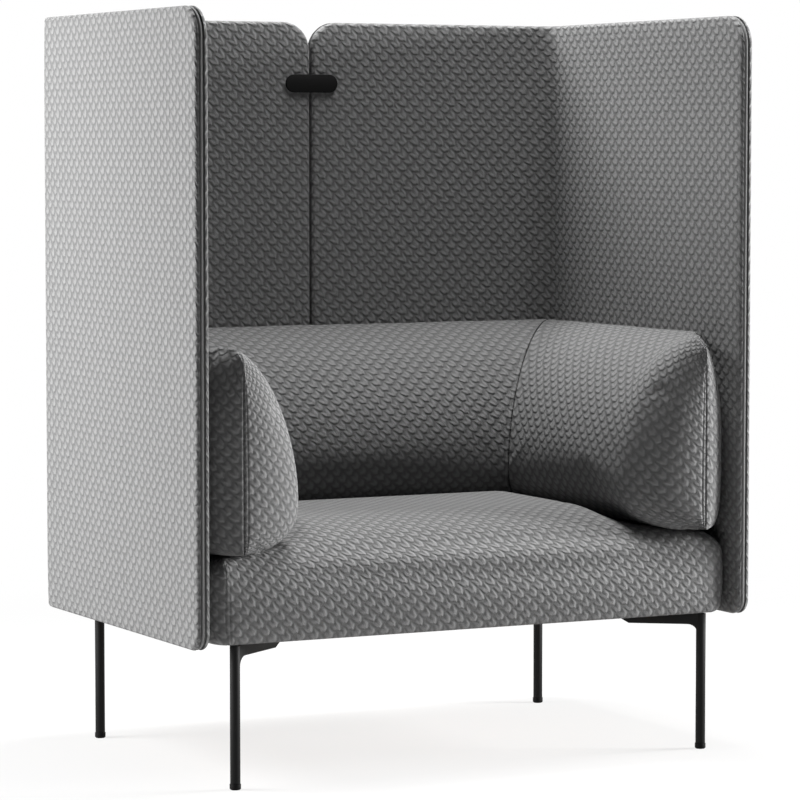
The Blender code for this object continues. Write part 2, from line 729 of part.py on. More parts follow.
def stud_mesh():
    length = STUD_DEPTH + 2 * GAP + PAD_THICKNESS + STUD_GRIP
    bm = bmesh.new()
    bmesh.ops.create_cone(
        bm,
        cap_ends=True,
        segments=HOLE_SIDES,
        radius1=STUD_DIAMETER / 2,
        radius2=STUD_DIAMETER / 2,
        depth=length,
    )
    bmesh.ops.translate(bm, verts=bm.verts, vec=(0, 0, length / 2))
    mesh = mesh_from(bm, "bolster_stud")
    mesh.materials.append(ZINC)
    return mesh


def build_bolster(name, rings, board_low, board_high, pins):
    """A bolster with a board let into its flat back; pins are start, end and diameter."""
    cushion = add(f"{name}_cushion", loft(f"{name}_cushion", rings), FABRIC)
    board = add(f"{name}_board", box(f"{name}_board", board_low, board_high), PLYWOOD)
    room = Vector((GAP, GAP, GAP))
    recess = box(f"{name}_recess", Vector(board_low) - room, Vector(board_high) + room)
    cut(cushion, add_cutter(f"{name}_recess", recess))
    cut(board, drills(f"{name}_drills", pins))


def build_bolsters():
    low = BOLSTER_BOTTOM + BOLSTER_BOARD_MARGIN
    high = BOLSTER_TOP - BOLSTER_BOARD_MARGIN
    near = GAP
    far = near + BOLSTER_BOARD_THICKNESS
    hole = STUD_DIAMETER + 2 * GAP
    stud = stud_mesh()
    start = near + STUD_DEPTH
    reach = ARM_STUD_SPACING / 2 + BOLSTER_BOARD_MARGIN
    for word, side in (("left", -1), ("right", 1)):
        xs = sorted((side * (INNER_X - near), side * (INNER_X - far)))
        pins = []
        for place, y in zip(("front", "back"), evenly(2, ARM_STUD_SPACING)):
            end = (side * (INNER_X + GAP), y, BOLSTER_MIDDLE)
            pins.append(((side * (INNER_X - start - GAP), y, BOLSTER_MIDDLE), end, hole))
            piece = add(f"{word}_arm_stud_{place}", stud, None)
            piece.location = (side * (INNER_X - start), y, BOLSTER_MIDDLE)
            piece.rotation_euler = (0, math.radians(90 * side), 0)
        build_bolster(
            f"{word}_arm", arm_rings(side), (xs[0], -reach, low), (xs[1], reach, high), pins
        )
    pins = []
    for word, x in zip(("left", "right"), evenly(2, BACK_STUD_SPACING)):
        end = (x, INNER_Y + GAP, BOLSTER_MIDDLE)
        pins.append(((x, INNER_Y - start - GAP, BOLSTER_MIDDLE), end, hole))
        piece = add(f"back_stud_{word}", stud, None)
        piece.location = (x, INNER_Y - start, BOLSTER_MIDDLE)
        piece.rotation_euler = (math.radians(-90), 0, 0)
    reach = BACK_STUD_SPACING / 2 + BOLSTER_BOARD_MARGIN
    build_bolster(
        "back", back_rings(), (-reach, INNER_Y - far, low), (reach, INNER_Y - near, high), pins
    )


# Legs

def leg_mesh():
    """A post on the Z axis with its arm along +X, bored for the glide and drilled for two screws."""
    radius = LEG_DIAMETER / 2
    half = LEG_ARM_WIDTH / 2
    root = math.sqrt(max(radius**2 - half**2, 0))
    under = LEG_TOP - LEG_ARM_DEPTH
    centre = (root + LEG_FILLET, under - LEG_FILLET)
    outline = [
        (0, LEG_TOP),
        (LEG_ARM_LENGTH, LEG_TOP),
        (LEG_ARM_LENGTH, LEG_TOP - LEG_ARM_TIP),
        (LEG_ARM_LENGTH - LEG_ARM_CHAMFER, under),
    ]
    outline += arc(centre, LEG_FILLET, 90, 180, CORNER_STEPS)
    outline.append((0, under - LEG_FILLET))
    arm = add_cutter("leg_arm", extruded("leg_arm", outline, -half, half))
    arm.rotation_euler = (math.radians(90), 0, 0)
    low = GLIDE_HEIGHT + GAP
    high = LEG_TOP - GAP
    bm = bmesh.new()
    bmesh.ops.create_cone(
        bm, cap_ends=True, segments=LEG_SIDES, radius1=radius, radius2=radius, depth=high - low
    )
    bmesh.ops.translate(bm, verts=bm.verts, vec=(0, 0, (low + high) / 2))
    post = add("leg", mesh_from(bm, "leg"), BLACK_METAL)
    cut(post, arm, "UNION")
    bore_top = low + STEM_LENGTH + STEM_ROOM
    holes = [((0, 0, 0), (0, 0, bore_top), STEM_DIAMETER + 2 * GAP)]
    sinks = []
    for place in LEG_SCREW_PLACES:
        hole = LEG_SCREW_DIAMETER + 2 * GAP
        holes.append(((place, 0, under - LEG_FILLET), (place, 0, SEAT_BOTTOM), hole))
        sink = LEG_HEAD_DIAMETER + 2 * GAP
        sinks.append(((place, 0, 0), (place, 0, under + LEG_HEAD_RECESS), sink))
    cut(post, drills("leg_drills", holes))
    cut(post, drills("leg_counterbores", sinks))
    mesh = evaluated_mesh(post)
    bpy.data.objects.remove(post, do_unlink=True)
    return mesh


def leg_screw_mesh():
    seat = LEG_TOP - LEG_ARM_DEPTH + LEG_HEAD_RECESS - GAP
    length = SEAT_BOTTOM + LEG_SCREW_GRIP - seat
    profile = (
        (0, length),
        (LEG_SCREW_DIAMETER / 2, length),
        (LEG_SCREW_DIAMETER / 2, 0),
        (LEG_HEAD_DIAMETER / 2, 0),
        (LEG_HEAD_DIAMETER / 2, -LEG_HEAD_HEIGHT),
        (0, -LEG_HEAD_HEIGHT),
    )
    mesh = turned("leg_screw", profile, TURNED_STEPS)
    mesh.materials.append(ZINC)
    return mesh, seat


def glide_mesh():
    profile = (
        (0, GLIDE_HEIGHT + STEM_LENGTH),
        (STEM_DIAMETER / 2, GLIDE_HEIGHT + STEM_LENGTH),
        (STEM_DIAMETER / 2, GLIDE_HEIGHT),
        (GLIDE_DIAMETER / 2, GLIDE_HEIGHT),
        (GLIDE_DIAMETER / 2, GLIDE_CHAMFER),
        (GLIDE_DIAMETER / 2 - GLIDE_CHAMFER, 0),
        (0, 0),
    )
    mesh = turned("glide", profile, LEG_SIDES)
    mesh.materials.append(BLACK_PLASTIC)
    return mesh


def build_legs(base):
    leg = leg_mesh()
    screw, screw_z = leg_screw_mesh()
    glide = glide_mesh()
    holes = []
    for row, y, inward in (("front", LEG_FRONT_Y, 1), ("rear", LEG_REAR_Y, -1)):
        for word, side in (("left", -1), ("right", 1)):
            turn = math.atan2(inward * math.sin(LEG_ARM_ANGLE), -side * math.cos(LEG_ARM_ANGLE))
            axis = Vector((side * LEG_X, y, 0))
            name = f"{row}_{word}"
            post = add(f"leg_{name}", leg, None)
            post.location = axis
            post.rotation_euler = (0, 0, turn)
            foot = add(f"glide_{name}", glide, None)
            foot.location = axis
            for end, place in zip(("outer", "inner"), LEG_SCREW_PLACES):
                spot = axis + place * Vector((math.cos(turn), math.sin(turn), 0))
                fixing = add(f"leg_screw_{name}_{end}", screw, None)
                fixing.location = spot + Vector((0, 0, screw_z))
                low = (spot.x, spot.y, SEAT_BOTTOM - LEG_SCREW_GRIP)
                high = (spot.x, spot.y, SEAT_BOTTOM + LEG_SCREW_GRIP + GAP)
                holes.append((low, high, LEG_SCREW_DIAMETER + 2 * GAP))
    cut(base, drills("base_drills", holes))


screen_drills = {"left": build_screen("left", -1), "right": build_screen("right", 1)}
build_connector()
base_panel = build_seat(screen_drills)
build_bolts()
build_bolsters()
build_legs(base_panel)
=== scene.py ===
"""High-back lounge sofa: its covers, finishes, floor, light and camera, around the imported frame."""

import math

import bmesh
import bpy
import numpy as np
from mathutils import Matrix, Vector


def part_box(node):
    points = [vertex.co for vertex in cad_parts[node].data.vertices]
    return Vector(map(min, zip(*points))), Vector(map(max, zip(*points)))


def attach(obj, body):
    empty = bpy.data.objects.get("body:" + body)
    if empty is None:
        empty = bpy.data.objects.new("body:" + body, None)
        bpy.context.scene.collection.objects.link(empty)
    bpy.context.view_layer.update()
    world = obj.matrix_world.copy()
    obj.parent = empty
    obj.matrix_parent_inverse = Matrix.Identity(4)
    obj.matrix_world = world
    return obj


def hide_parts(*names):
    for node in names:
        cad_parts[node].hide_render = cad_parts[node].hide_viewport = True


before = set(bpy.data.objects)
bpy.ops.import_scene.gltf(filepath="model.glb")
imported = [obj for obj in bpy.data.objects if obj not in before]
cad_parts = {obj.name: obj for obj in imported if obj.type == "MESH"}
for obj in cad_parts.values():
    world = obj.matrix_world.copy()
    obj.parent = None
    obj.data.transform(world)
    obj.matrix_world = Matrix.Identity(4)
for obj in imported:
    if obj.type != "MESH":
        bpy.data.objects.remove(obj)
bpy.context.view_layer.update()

# Sizes read from the frame, in metres as all lengths here
OUTER_LOW, OUTER_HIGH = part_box("right_screen_outer_pad")
SEAT_LOW, SEAT_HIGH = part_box("seat_cushion")
ARM_LOW, ARM_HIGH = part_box("right_arm_cushion")
BACK_LOW, BACK_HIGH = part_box("back_cushion")
BASE_LOW, BASE_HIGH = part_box("base_panel")
HALF_WIDTH = OUTER_HIGH.x
FRONT_Y = OUTER_LOW.y
BACK_Y = OUTER_HIGH.y
SCREEN_LOW = OUTER_LOW.z
SCREEN_HIGH = OUTER_HIGH.z
SLIT_X = OUTER_LOW.x  # the edge of a screen at the slit between the two
ARM_X = ARM_HIGH.x  # where an arm rests on its screen
BOLSTER_Y = BACK_HIGH.y  # where the back cushion rests on the screens
BOLSTER_LOW = BACK_LOW.z
BOLSTER_HIGH = BACK_HIGH.z

# Screens
SCREEN_THICKNESS = 0.026
PAD_THICKNESS = 0.0067
BOARD_THICKNESS = 0.012
SCREEN_BEND = 0.055  # radius of the outer face, in plan
BEND_LINES = 15  # mesh lines round the bend
TOP_CORNER = 0.055
BOTTOM_CORNER = 0.030
CORNER_STEPS = 12
PAD_ROUND = 0.0070  # how the cover turns over the edge
PAD_ROUND_STEPS = 5
PAD_LAP = 0.0008  # how far the rim of a pad reaches over the edge of the board
PAD_LAP_DEPTH = 0.0050
PAD_SWELL = 0.0015  # how far the foam fills the cover
PAD_SWELL_REACH = 0.050
PAD_GRID = 0.024  # spacing of the mesh
PAD_MERGE = 0.0004
GROOVE_DEPTH = 0.0045  # beside the rib of the border
BORDER_DEPTH = 0.0015  # from the bottom of the grooves to the board
BORDER_GRID = 4 * PAD_GRID
RIB_WIDTH = 0.0056
RIB_RISE = 0.0038
RIB_ROUND = 0.0026
RIB_ROUND_STEPS = 5

# Bolsters: one D-shaped section, with a nose at the front of each arm
BELLY_RISE = 0.086
BELLY_Z = BOLSTER_LOW + BELLY_RISE  # where the section is deepest
BELLY_DEPTH = 0.208
UPPER_FULLNESS = 1.82
LOWER_FULLNESS = 2.7
NOSE_RIDGE = 0.066  # distance of the front seam from the screen
NOSE_OUTER_DEPTH = 0.065
NOSE_INNER_DEPTH = 0.087
NOSE_INNER_FULLNESS = 2.2
NOSE_TOP_DEPTH = 0.052
NOSE_TOP_DROP = 0.030
NOSE_BOTTOM_LIFT = 0.003
STRIP_ROUND = 0.054  # how far the strip outside the seam rounds back at its top and bottom
STRIP_FULLNESS = 1.9
STRIP_LOW_FULLNESS = 5.0
STRIP_START = 0.030
STRIP_FADE = 0.060
STRIP_END = 0.150
CORNER_RELIEF = 0.0085  # of the bolsters at the bend of the screens
INNER_BEND = SCREEN_BEND - SCREEN_THICKNESS
MITRE_GAP = 0.0001
MITRE_DRAW = 0.0005  # how far the thread draws the covers in at a mitre
MITRE_LENGTH = 0.004
BOLSTER_SLACK = 0.004  # how much smaller a cover starts before it is filled
BOLSTER_FILL = 0.006  # the most that it then swells

# Mesh lines of the bolsters: rows round the section, stations along it. On an arm, stations 0 to 1 go
# round the nose and 1 to 2 along the straight part, and the back runs from -1 to 1
SECTION_ROWS = 64
MITRE_SHARE = 0.10  # of the straight part, where the mesh is closer
MITRE_STAGES = np.array([0.80, 0.62, 0.46, 0.34, 0.26, 0.20, 0.14, 0.08, 0.03, 0.0])
SEAM_STAGES = np.array(
    [0.0, 0.0041, 0.0087, 0.0153, 0.0222, 0.0257, 0.0293, 0.0365, 0.0476, 0.066, 0.09]
)
NOSE_STAGES = np.linspace(0.12, 1, 32)
ARM_STATIONS = np.concatenate(
    [
        SEAM_STAGES,
        NOSE_STAGES,
        1 + np.linspace(0, 1 - MITRE_SHARE, 22)[1:],
        2 - MITRE_SHARE * MITRE_STAGES,
    ]
)
BACK_STATIONS = np.concatenate(
    [
        MITRE_SHARE * MITRE_STAGES[::-1] - 1,
        np.linspace(MITRE_SHARE - 1, 1 - MITRE_SHARE, 49),
        1 - MITRE_SHARE * MITRE_STAGES,
    ]
)
SECTION_SAMPLES = 801  # for measuring the length of the section
NOSE_SAMPLES = 301

# Seat
SEAT_CORNER = 0.040  # radius in plan
SEAT_EDGE = 0.038  # radius of the top edge
SEAT_HEM = 0.010  # radius of the bottom edge
SEAT_EDGE_STEPS = 8
SEAT_HEM_STEPS = 3
SEAT_GAP = 0.0003  # between the rim and the bolsters on it
SEAT_LIFT = 0.0008  # of the cover over the underside of the base board
SEAT_TOP_PULL = 0.009  # how far the ends pull in at their top
SEAT_BOTTOM_PULL = 0.018
SEAT_PULL_REACH = 0.060
SEAT_CROWN = 0.040
SEAT_CROWN_RUN = 0.160  # from the front edge back to the full height of the crown
SEAT_OPEN = (0.7 * BELLY_DEPTH, 1.2 * BELLY_DEPTH)  # where the crown comes out from under the bolsters
SEAT_COVERED = 0.13  # how far from the screens the bolsters hold the seat down
SEAT_OPEN_FRONT = 0.10  # the front part that they leave free
SEAT_WALL = 0.002  # a point this close to the ends or the rear can't swell
SEAT_FLAT = 0.0005  # a point this close to the rim lies on the flat top
SEAT_SLACK = 0.004
SEAT_FILL = 0.010
SEAT_GRID = 0.020  # spacing of the mesh
SEAT_GRID_END = 0.480
SEAT_GRID_FRONT = 0.050
SEAT_GRID_REAR = 0.045
SEAT_GRID_LOW = 0.025
SEAT_GRID_HIGH = 0.012
SEAT_GRID_LEVELS = 6
SEAT_MERGE = 0.0012
SEAT_SEAM_X = -0.496
SEAT_SEAM_GRID = 0.003  # spacing of the mesh beside the seam
SEAT_SEAM_LINES = np.arange(-4, 8)
SEAT_SEAM_DEPTH = 0.030  # how far behind the front the seam reaches
SEAT_SEAM_TOP = 0.004  # how far under the rim it ends
BASE_INSET = Vector((0.024, 0.006, 0.0))  # of the base board, behind the rounded hem
BASE_CORNER = 0.020
BASE_CORNER_STEPS = 6
BASE_EDGE = 0.001

# Seams and fill of the covers
SEAM_DEPTH = 0.0020
SEAM_WIDTH = 0.0020
QUIET_SEAM = 0.0018  # a quiet seam is drawn in less, as if it were this far away
STITCH_OFFSET = 0.0080  # of the row of stitches beside a seam
STITCH_DEPTH = 0.0008
STITCH_WIDTH = 0.0016
SEWN_REACH = 0.006  # width of the band beside a seam, and beside a row of stitches, in which the fabric gets painted shade
NO_SEAM = 1.0  # a distance at which no seam shows
SEWN_MERGE = 0.0001
LOOSE_REACH = 0.035  # how far from a seam a cover swells freely
HELD_SHARE = 0.02  # a point looser than this is free
TIGHT = 0.95  # fill of the covers, from 0 for slack to 1
CLOTH_FRAMES = 20
CLOTH_PRESSURE = 4.0

# Weave, with the shape of a dart in shares of its repeat
WEAVE_WIDE = 0.0270  # repeat across
WEAVE_TALL = 0.0255
WEAVE_TURN = math.radians(45)
WEAVE_RELIEF = 0.0022
YARN = 0.0016
YARN_RELIEF = 0.42  # as a share of a dart's height
DRIFT = 0.006  # how unevenly the rows run
DRIFT_LENGTH = 0.012
DART_POINT = 0.75  # how far the head of a dart is drawn to a point
DART_RISE = (-0.46, 0.20)
DART_FALL = (0.28, 0.64)
DART_FLANK = (0.22, 0.50)
DART_FOOT = 0.05  # height that is left between two rows
WEAVE_TONES = (0.05, 1.25)  # heights at which the painted shade of the grooves and the light tone are full
SEAM_SHADE_BAND = (0.78, 0.98)  # shares of the band beside a seam over which painted shade darkens its groove
# shares of the band beside a row of stitches over which painted shade darkens its groove
STITCH_SHADE_BAND = (0.80, 1.0)
# how dark the painted shade along a row of stitches gets, as a share of that at a seam
STITCH_SHADE_STRENGTH = 0.35

# Hard pieces
LEG_EDGE = 0.0008
PLATE_EDGE = 0.0012
EDGE_ANGLE = math.radians(40)
SMOOTH_ANGLE = math.radians(35)
SOLID_MERGE = 0.00002

# Floor, light and camera
FLOOR_RADIUS = 6
SHADOW_REACH = (0.9, 2.6)
SHADOW_SHARE = 0.24
LIGHT_TARGET = Vector((0.0, 0.0, 0.7))
CAMERA_PLACE = (-3.0086, -5.9452, 1.1119)
CAMERA_AZIMUTH = -27.0
CAMERA_ELEVATION = 4.053
CAMERA_LENS = 161.44
CAMERA_SENSOR = 36

TINY = 1e-5
MAP = "weave"


# Modelling steps

def deselect():
    for piece in bpy.context.selected_objects:
        piece.select_set(False)


def activate(piece):
    deselect()
    piece.select_set(True)
    bpy.context.view_layer.objects.active = piece


def edit(piece):
    activate(piece)
    bpy.ops.object.mode_set(mode="EDIT")


def leave():
    bpy.ops.object.mode_set(mode="OBJECT")


def pick(piece, kind, test):
    """Selects, in edit mode, the verts, edges or faces that pass a test, and nothing else."""
    modes = {"verts": "VERT", "edges": "EDGE", "faces": "FACE"}
    bpy.ops.mesh.select_mode(type=modes[kind])
    bpy.ops.mesh.select_all(action="DESELECT")
    form = bmesh.from_edit_mesh(piece.data)
    for part in getattr(form, kind):
        if test(part):
            part.select_set(True)
    form.select_flush_mode()
    bmesh.update_edit_mesh(piece.data)


def level_edge(edge):
    return abs(edge.verts[0].co.z - edge.verts[1].co.z) < TINY


def upright_edge(edge):
    return abs(edge.verts[0].co.z - edge.verts[1].co.z) > TINY


def bisect(axis, places):
    """Cuts the whole mesh, in edit mode, across one axis at each place."""
    for place in places:
        point = [0.0, 0.0, 0.0]
        normal = [0.0, 0.0, 0.0]
        point[axis] = place
        normal[axis] = 1.0
        bpy.ops.mesh.select_all(action="SELECT")
        bpy.ops.mesh.bisect(plane_co=point, plane_no=normal)


def merge(distance):
    bpy.ops.mesh.select_all(action="SELECT")
    bpy.ops.mesh.remove_doubles(threshold=distance)


def block(name, low, high):
    """A plain block between two corners, to be shaped in edit mode."""
    deselect()
    bpy.ops.mesh.primitive_cube_add(size=1)
    piece = bpy.context.object
    piece.name = name
    piece.scale = high - low
    piece.location = (low + high) / 2
    bpy.ops.object.transform_apply()
    edit(piece)
    return piece


def points_of(piece):
    co = np.empty(len(piece.data.vertices) * 3)
    piece.data.vertices.foreach_get("co", co)
    return co.reshape(-1, 3)


def set_points(piece, co):
    piece.data.vertices.foreach_set("co", np.asarray(co, np.float32).ravel())
    piece.data.update()


def normals_of(piece):
    normal = np.empty(len(piece.data.vertices) * 3)
    piece.data.vertex_normals.foreach_get("vector", normal)
    return normal.reshape(-1, 3)


def corners_of(mesh):
    """The vertex at each corner of each face."""
    corners = np.empty(len(mesh.loops), np.int32)
    mesh.loops.foreach_get("vertex_index", corners)
    return corners


def lay_weave(piece, across, up):
    """Writes the weave's map from one pair of lengths for each vertex."""
    mesh = piece.data
    layer = mesh.uv_layers.get(MAP) or mesh.uv_layers.new(name=MAP)
    both = np.stack([across, up], 1)[corners_of(mesh)]
    layer.uv.foreach_set("vector", both.astype(np.float32).ravel())


def flatten_weave(piece, across, up):
    """Lays a cover out flat with little stretch, as it was cut, turned to follow the given lengths."""
    edit(piece)
    bpy.ops.mesh.select_all(action="SELECT")
    bpy.ops.uv.unwrap(method="MINIMUM_STRETCH", iterations=20, margin=0.0)
    leave()
    mesh = piece.data
    corners = corners_of(mesh)
    laid = np.empty(len(mesh.loops) * 2, np.float32)
    mesh.uv_layers[MAP].uv.foreach_get("vector", laid)
    cut = np.empty(len(mesh.vertices), complex)
    cut[corners] = laid[0::2] + 1j * laid[1::2]
    cut -= cut.mean()
    wanted = across + 1j * up
    middle = wanted.mean()
    fits = []
    for shape in (cut, np.conj(cut)):
        turn = np.vdot(shape, wanted - middle) / np.vdot(shape, shape)
        fits.append((np.abs(shape * turn - wanted + middle).mean(), shape * turn / abs(turn)))
    _, best = min(fits, key=lambda fit: fit[0])
    shape = best[corners]
    flat_area = 0.0
    for face in mesh.polygons:
        round_face = shape[face.loop_start : face.loop_start + face.loop_total]
        flat_area += abs(np.sum(np.conj(round_face) * np.roll(round_face, -1)).imag) / 2
    real_area = sum(face.area for face in mesh.polygons)
    best = best * math.sqrt(real_area / flat_area) + middle
    lay_weave(piece, best.real, best.imag)


def write_lengths(piece, name, values):
    """Keeps one length for each vertex, which later joins and subdivisions carry along."""
    mesh = piece.data
    layer = mesh.attributes.get(name) or mesh.attributes.new(name, "FLOAT", "POINT")
    layer.data.foreach_set("value", np.asarray(values, np.float32))


def read_lengths(piece, name):
    values = np.empty(len(piece.data.vertices), np.float32)
    piece.data.attributes[name].data.foreach_get("value", values)
    return values.astype(float)


def face_outwards(piece):
    edit(piece)
    bpy.ops.mesh.select_all(action="SELECT")
    bpy.ops.mesh.normals_make_consistent(inside=False)
    leave()


def dress(piece, material, slot, *nodes, body="sofa", fill=None):
    """Finishes a piece: its material, the nodes that it stands for and the body that carries it."""
    piece.data.materials.clear()
    piece.data.materials.append(material)
    activate(piece)
    bpy.ops.object.shade_smooth_by_angle(angle=SMOOTH_ANGLE)
    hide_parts(*nodes)
    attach(piece, body)


# Materials

def linear(colour):
    """An sRGB hex colour as linear red, green, blue and alpha."""
    values = [int(colour[i : i + 2], 16) / 255 for i in (1, 3, 5)]
    return [v / 12.92 if v <= 0.04045 else ((v + 0.055) / 1.055) ** 2.4 for v in values] + [1.0]


def add_node(tree, kind, inputs, **settings):
    """Adds a node, sets it up, and links or fills its inputs."""
    node = tree.nodes.new(kind)
    for name, value in settings.items():
        setattr(node, name, value)
    for name, value in inputs.items():
        if isinstance(value, bpy.types.NodeSocket):
            tree.links.new(value, node.inputs[name])
        else:
            node.inputs[name].default_value = value
    return node


def new_material(name):
    material = bpy.data.materials.new(name)
    material.use_nodes = True
    return material, material.node_tree, material.node_tree.nodes["Principled BSDF"]


def relief_weave(name, face, groove_shade, seam_shade_colour):
    """Thick upholstery weave: raised darts in slanting rows, with painted shade darkening their grooves.

    One repeat of the pattern is a square on its corner. A dart climbs along it to a pointed head,
    falls off steeply there, and slopes away at its flanks.
    """
    material, tree, shader = new_material(name)
    place = add_node(tree, "ShaderNodeUVMap", {}, uv_map=MAP).outputs["UV"]
    drift = add_node(
        tree, "ShaderNodeTexNoise", {"Vector": place, "Scale": 1 / DRIFT_LENGTH, "Detail": 1.0}
    ).outputs["Color"]
    drift = add_node(
        tree,
        "ShaderNodeVectorMath",
        {0: drift, 1: (DRIFT, DRIFT, 0), 2: place},
        operation="MULTIPLY_ADD",
    ).outputs["Vector"]
    turned = add_node(
        tree,
        "ShaderNodeMapping",
        {
            "Vector": drift,
            "Rotation": (0, 0, WEAVE_TURN),
            "Scale": (math.sqrt(2) / WEAVE_WIDE, math.sqrt(2) / WEAVE_TALL, 1),
        },
    ).outputs["Vector"]
    cell = add_node(
        tree,
        "ShaderNodeVectorMath",
        {0: turned, 1: (0.5, 0.5, 0.5), 2: (-0.5, -0.5, -0.5)},
        operation="WRAP",
    ).outputs["Vector"]
    along = add_node(tree, "ShaderNodeSeparateXYZ", {"Vector": cell}).outputs["X"]
    aside = add_node(tree, "ShaderNodeVectorMath", {0: cell}, operation="ABSOLUTE").outputs["Vector"]
    aside = add_node(tree, "ShaderNodeSeparateXYZ", {"Vector": aside}).outputs["Y"]
    head = add_node(
        tree, "ShaderNodeMath", {0: aside, 1: DART_POINT, 2: along}, operation="MULTIPLY_ADD"
    ).outputs[0]
    dart = None
    for value, (start, end), low, high in (
        (head, DART_RISE, 0.0, 1.0),
        (head, DART_FALL, 1.0, 0.0),
        (aside, DART_FLANK, 1.0, DART_FOOT),
    ):
        slope = add_node(
            tree,
            "ShaderNodeMapRange",
            {"Value": value, "From Min": start, "From Max": end, "To Min": low, "To Max": high},
            interpolation_type="SMOOTHSTEP",
        ).outputs["Result"]
        if dart is None:
            dart = slope
        else:
            dart = add_node(tree, "ShaderNodeMath", {0: dart, 1: slope}, operation="MULTIPLY").outputs[0]
    yarn = add_node(
        tree,
        "ShaderNodeTexNoise",
        {"Vector": place, "Scale": 1 / YARN, "Detail": 2.0, "Roughness": 0.6},
    ).outputs["Fac"]
    height = add_node(
        tree, "ShaderNodeMath", {0: yarn, 1: YARN_RELIEF, 2: dart}, operation="MULTIPLY_ADD"
    ).outputs[0]
    # Painted shade along the seams and the rows of stitches, where the fabric turns into a groove
    lines = []
    for attribute, (start, end), most in (("sewn", SEAM_SHADE_BAND, 1.0), ("stitched", STITCH_SHADE_BAND, STITCH_SHADE_STRENGTH)):
        near = add_node(tree, "ShaderNodeAttribute", {}, attribute_name=attribute).outputs["Fac"]
        line = add_node(
            tree,
            "ShaderNodeMapRange",
            {"Value": near, "From Min": start, "From Max": end, "To Max": most},
            interpolation_type="SMOOTHSTEP",
        ).outputs["Result"]
        lines.append(line)
    line = add_node(tree, "ShaderNodeMath", {0: lines[0], 1: lines[1]}, operation="MAXIMUM").outputs[0]
    # The low parts of the weave take the dark colour as painted shade in the grooves; the yarn noise makes
    # the tone uneven
    tone = add_node(
        tree,
        "ShaderNodeMapRange",
        {"Value": height, "From Min": WEAVE_TONES[0], "From Max": WEAVE_TONES[1]},
    ).outputs["Result"]
    colour = add_node(
        tree,
        "ShaderNodeMix",
        {"Factor": tone, 6: linear(groove_shade), 7: linear(face)},
        data_type="RGBA",
    ).outputs[2]
    # Mixes in the painted shade of the seams and stitches
    colour = add_node(
        tree,
        "ShaderNodeMix",
        {"Factor": line, 6: colour, 7: linear(seam_shade_colour)},
        data_type="RGBA",
    ).outputs[2]
    bump = add_node(
        tree,
        "ShaderNodeBump",
        {"Height": height, "Distance": WEAVE_RELIEF, "Strength": 1.0},
    ).outputs["Normal"]
    tree.links.new(colour, shader.inputs["Base Color"])
    tree.links.new(bump, shader.inputs["Normal"])
    shader.inputs["Roughness"].default_value = 0.95
    shader.inputs["Specular IOR Level"].default_value = 0.05
    shader.inputs["Sheen Weight"].default_value = 0.06
    shader.inputs["Sheen Roughness"].default_value = 0.5
    return material


def grained(name, colours, grain, roughness, relief, stretch=(1, 1, 1), metallic=0.0, mirror=0.5):
    """A finish whose two tones and fine relief follow one noise, with its grain in millimetres.

    Stretch says how many times finer the grain is along each axis.
    """
    material, tree, shader = new_material(name)
    place = add_node(tree, "ShaderNodeTexCoord", {}).outputs["Object"]
    drawn = add_node(
        tree, "ShaderNodeMapping", {"Vector": place, "Scale": stretch}
    ).outputs["Vector"]
    noise = add_node(
        tree, "ShaderNodeTexNoise", {"Vector": drawn, "Scale": 1000 / grain, "Detail": 4.0}
    ).outputs["Fac"]
    colour = add_node(
        tree,
        "ShaderNodeMix",
        {"Factor": noise, 6: linear(colours[0]), 7: linear(colours[1])},
        data_type="RGBA",
    ).outputs[2]
    bump = add_node(
        tree, "ShaderNodeBump", {"Height": noise, "Distance": relief, "Strength": 0.6}
    ).outputs["Normal"]
    tree.links.new(colour, shader.inputs["Base Color"])
    tree.links.new(bump, shader.inputs["Normal"])
    shader.inputs["Roughness"].default_value = roughness
    shader.inputs["Metallic"].default_value = metallic
    shader.inputs["Specular IOR Level"].default_value = mirror
    return material


# Wool-like yarn in a thick weave, 27 mm to the repeat: a matt grey that the light from the side breaks
# into bright darts and dark grooves, with painted shade darkening the grooves further
# Its third colour is painted shade, for the grooves along the seams and rows of stitches
fabric = relief_weave("grey_relief_weave", "#757575", "#595959", "#2C2C2C")

# The same yarn in a plain, tight weave: an even grey, a little lighter, as it has no deep grooves
border = grained("grey_plain_weave", ("#6C6C6C", "#828282"), 1.43, 0.95, 0.0006, mirror=0.05)

# Steel under matt powder coat: nearly black, with a broad, weak gleam along the legs. The real grain is
# too fine to show, so it is drawn coarser, as on the nylon and the zinc
powder_coat = grained("black_powder_coat", ("#0B0B0B", "#131313"), 1.11, 0.55, 0.0002, mirror=0.12)

# Nylon from an etched mould: black, with hardly a gleam
moulded = grained("black_moulded_nylon", ("#080808", "#0E0E0E"), 0.714, 0.6, 0.0001, mirror=0.08)

# Sanded birch plywood without lacquer: pale and warm, in layers of about 2 mm
plywood = grained("birch_plywood", ("#C49A66", "#A97E4C"), 16.7, 0.65, 0.0003, stretch=(1, 1, 8))

# Planed beech: warm and even, with a short, fine grain
beech = grained("planed_beech", ("#C99B6B", "#B4824F"), 11.1, 0.55, 0.0002, stretch=(1, 8, 8))

# Elastic straps of rubber and yarn: a dull, dark grey with a visible thread
elastic = grained("elastic_webbing", ("#1A1A1C", "#2A2A2C"), 1.43, 0.85, 0.0005)

# Steel screws with bright zinc: silvery, with a slightly blurred mirror
zinc = grained("zinc_plated_steel", ("#B4B8BC", "#C8CBCE"), 2.0, 0.34, 0.0001, metallic=1.0)


# Screens

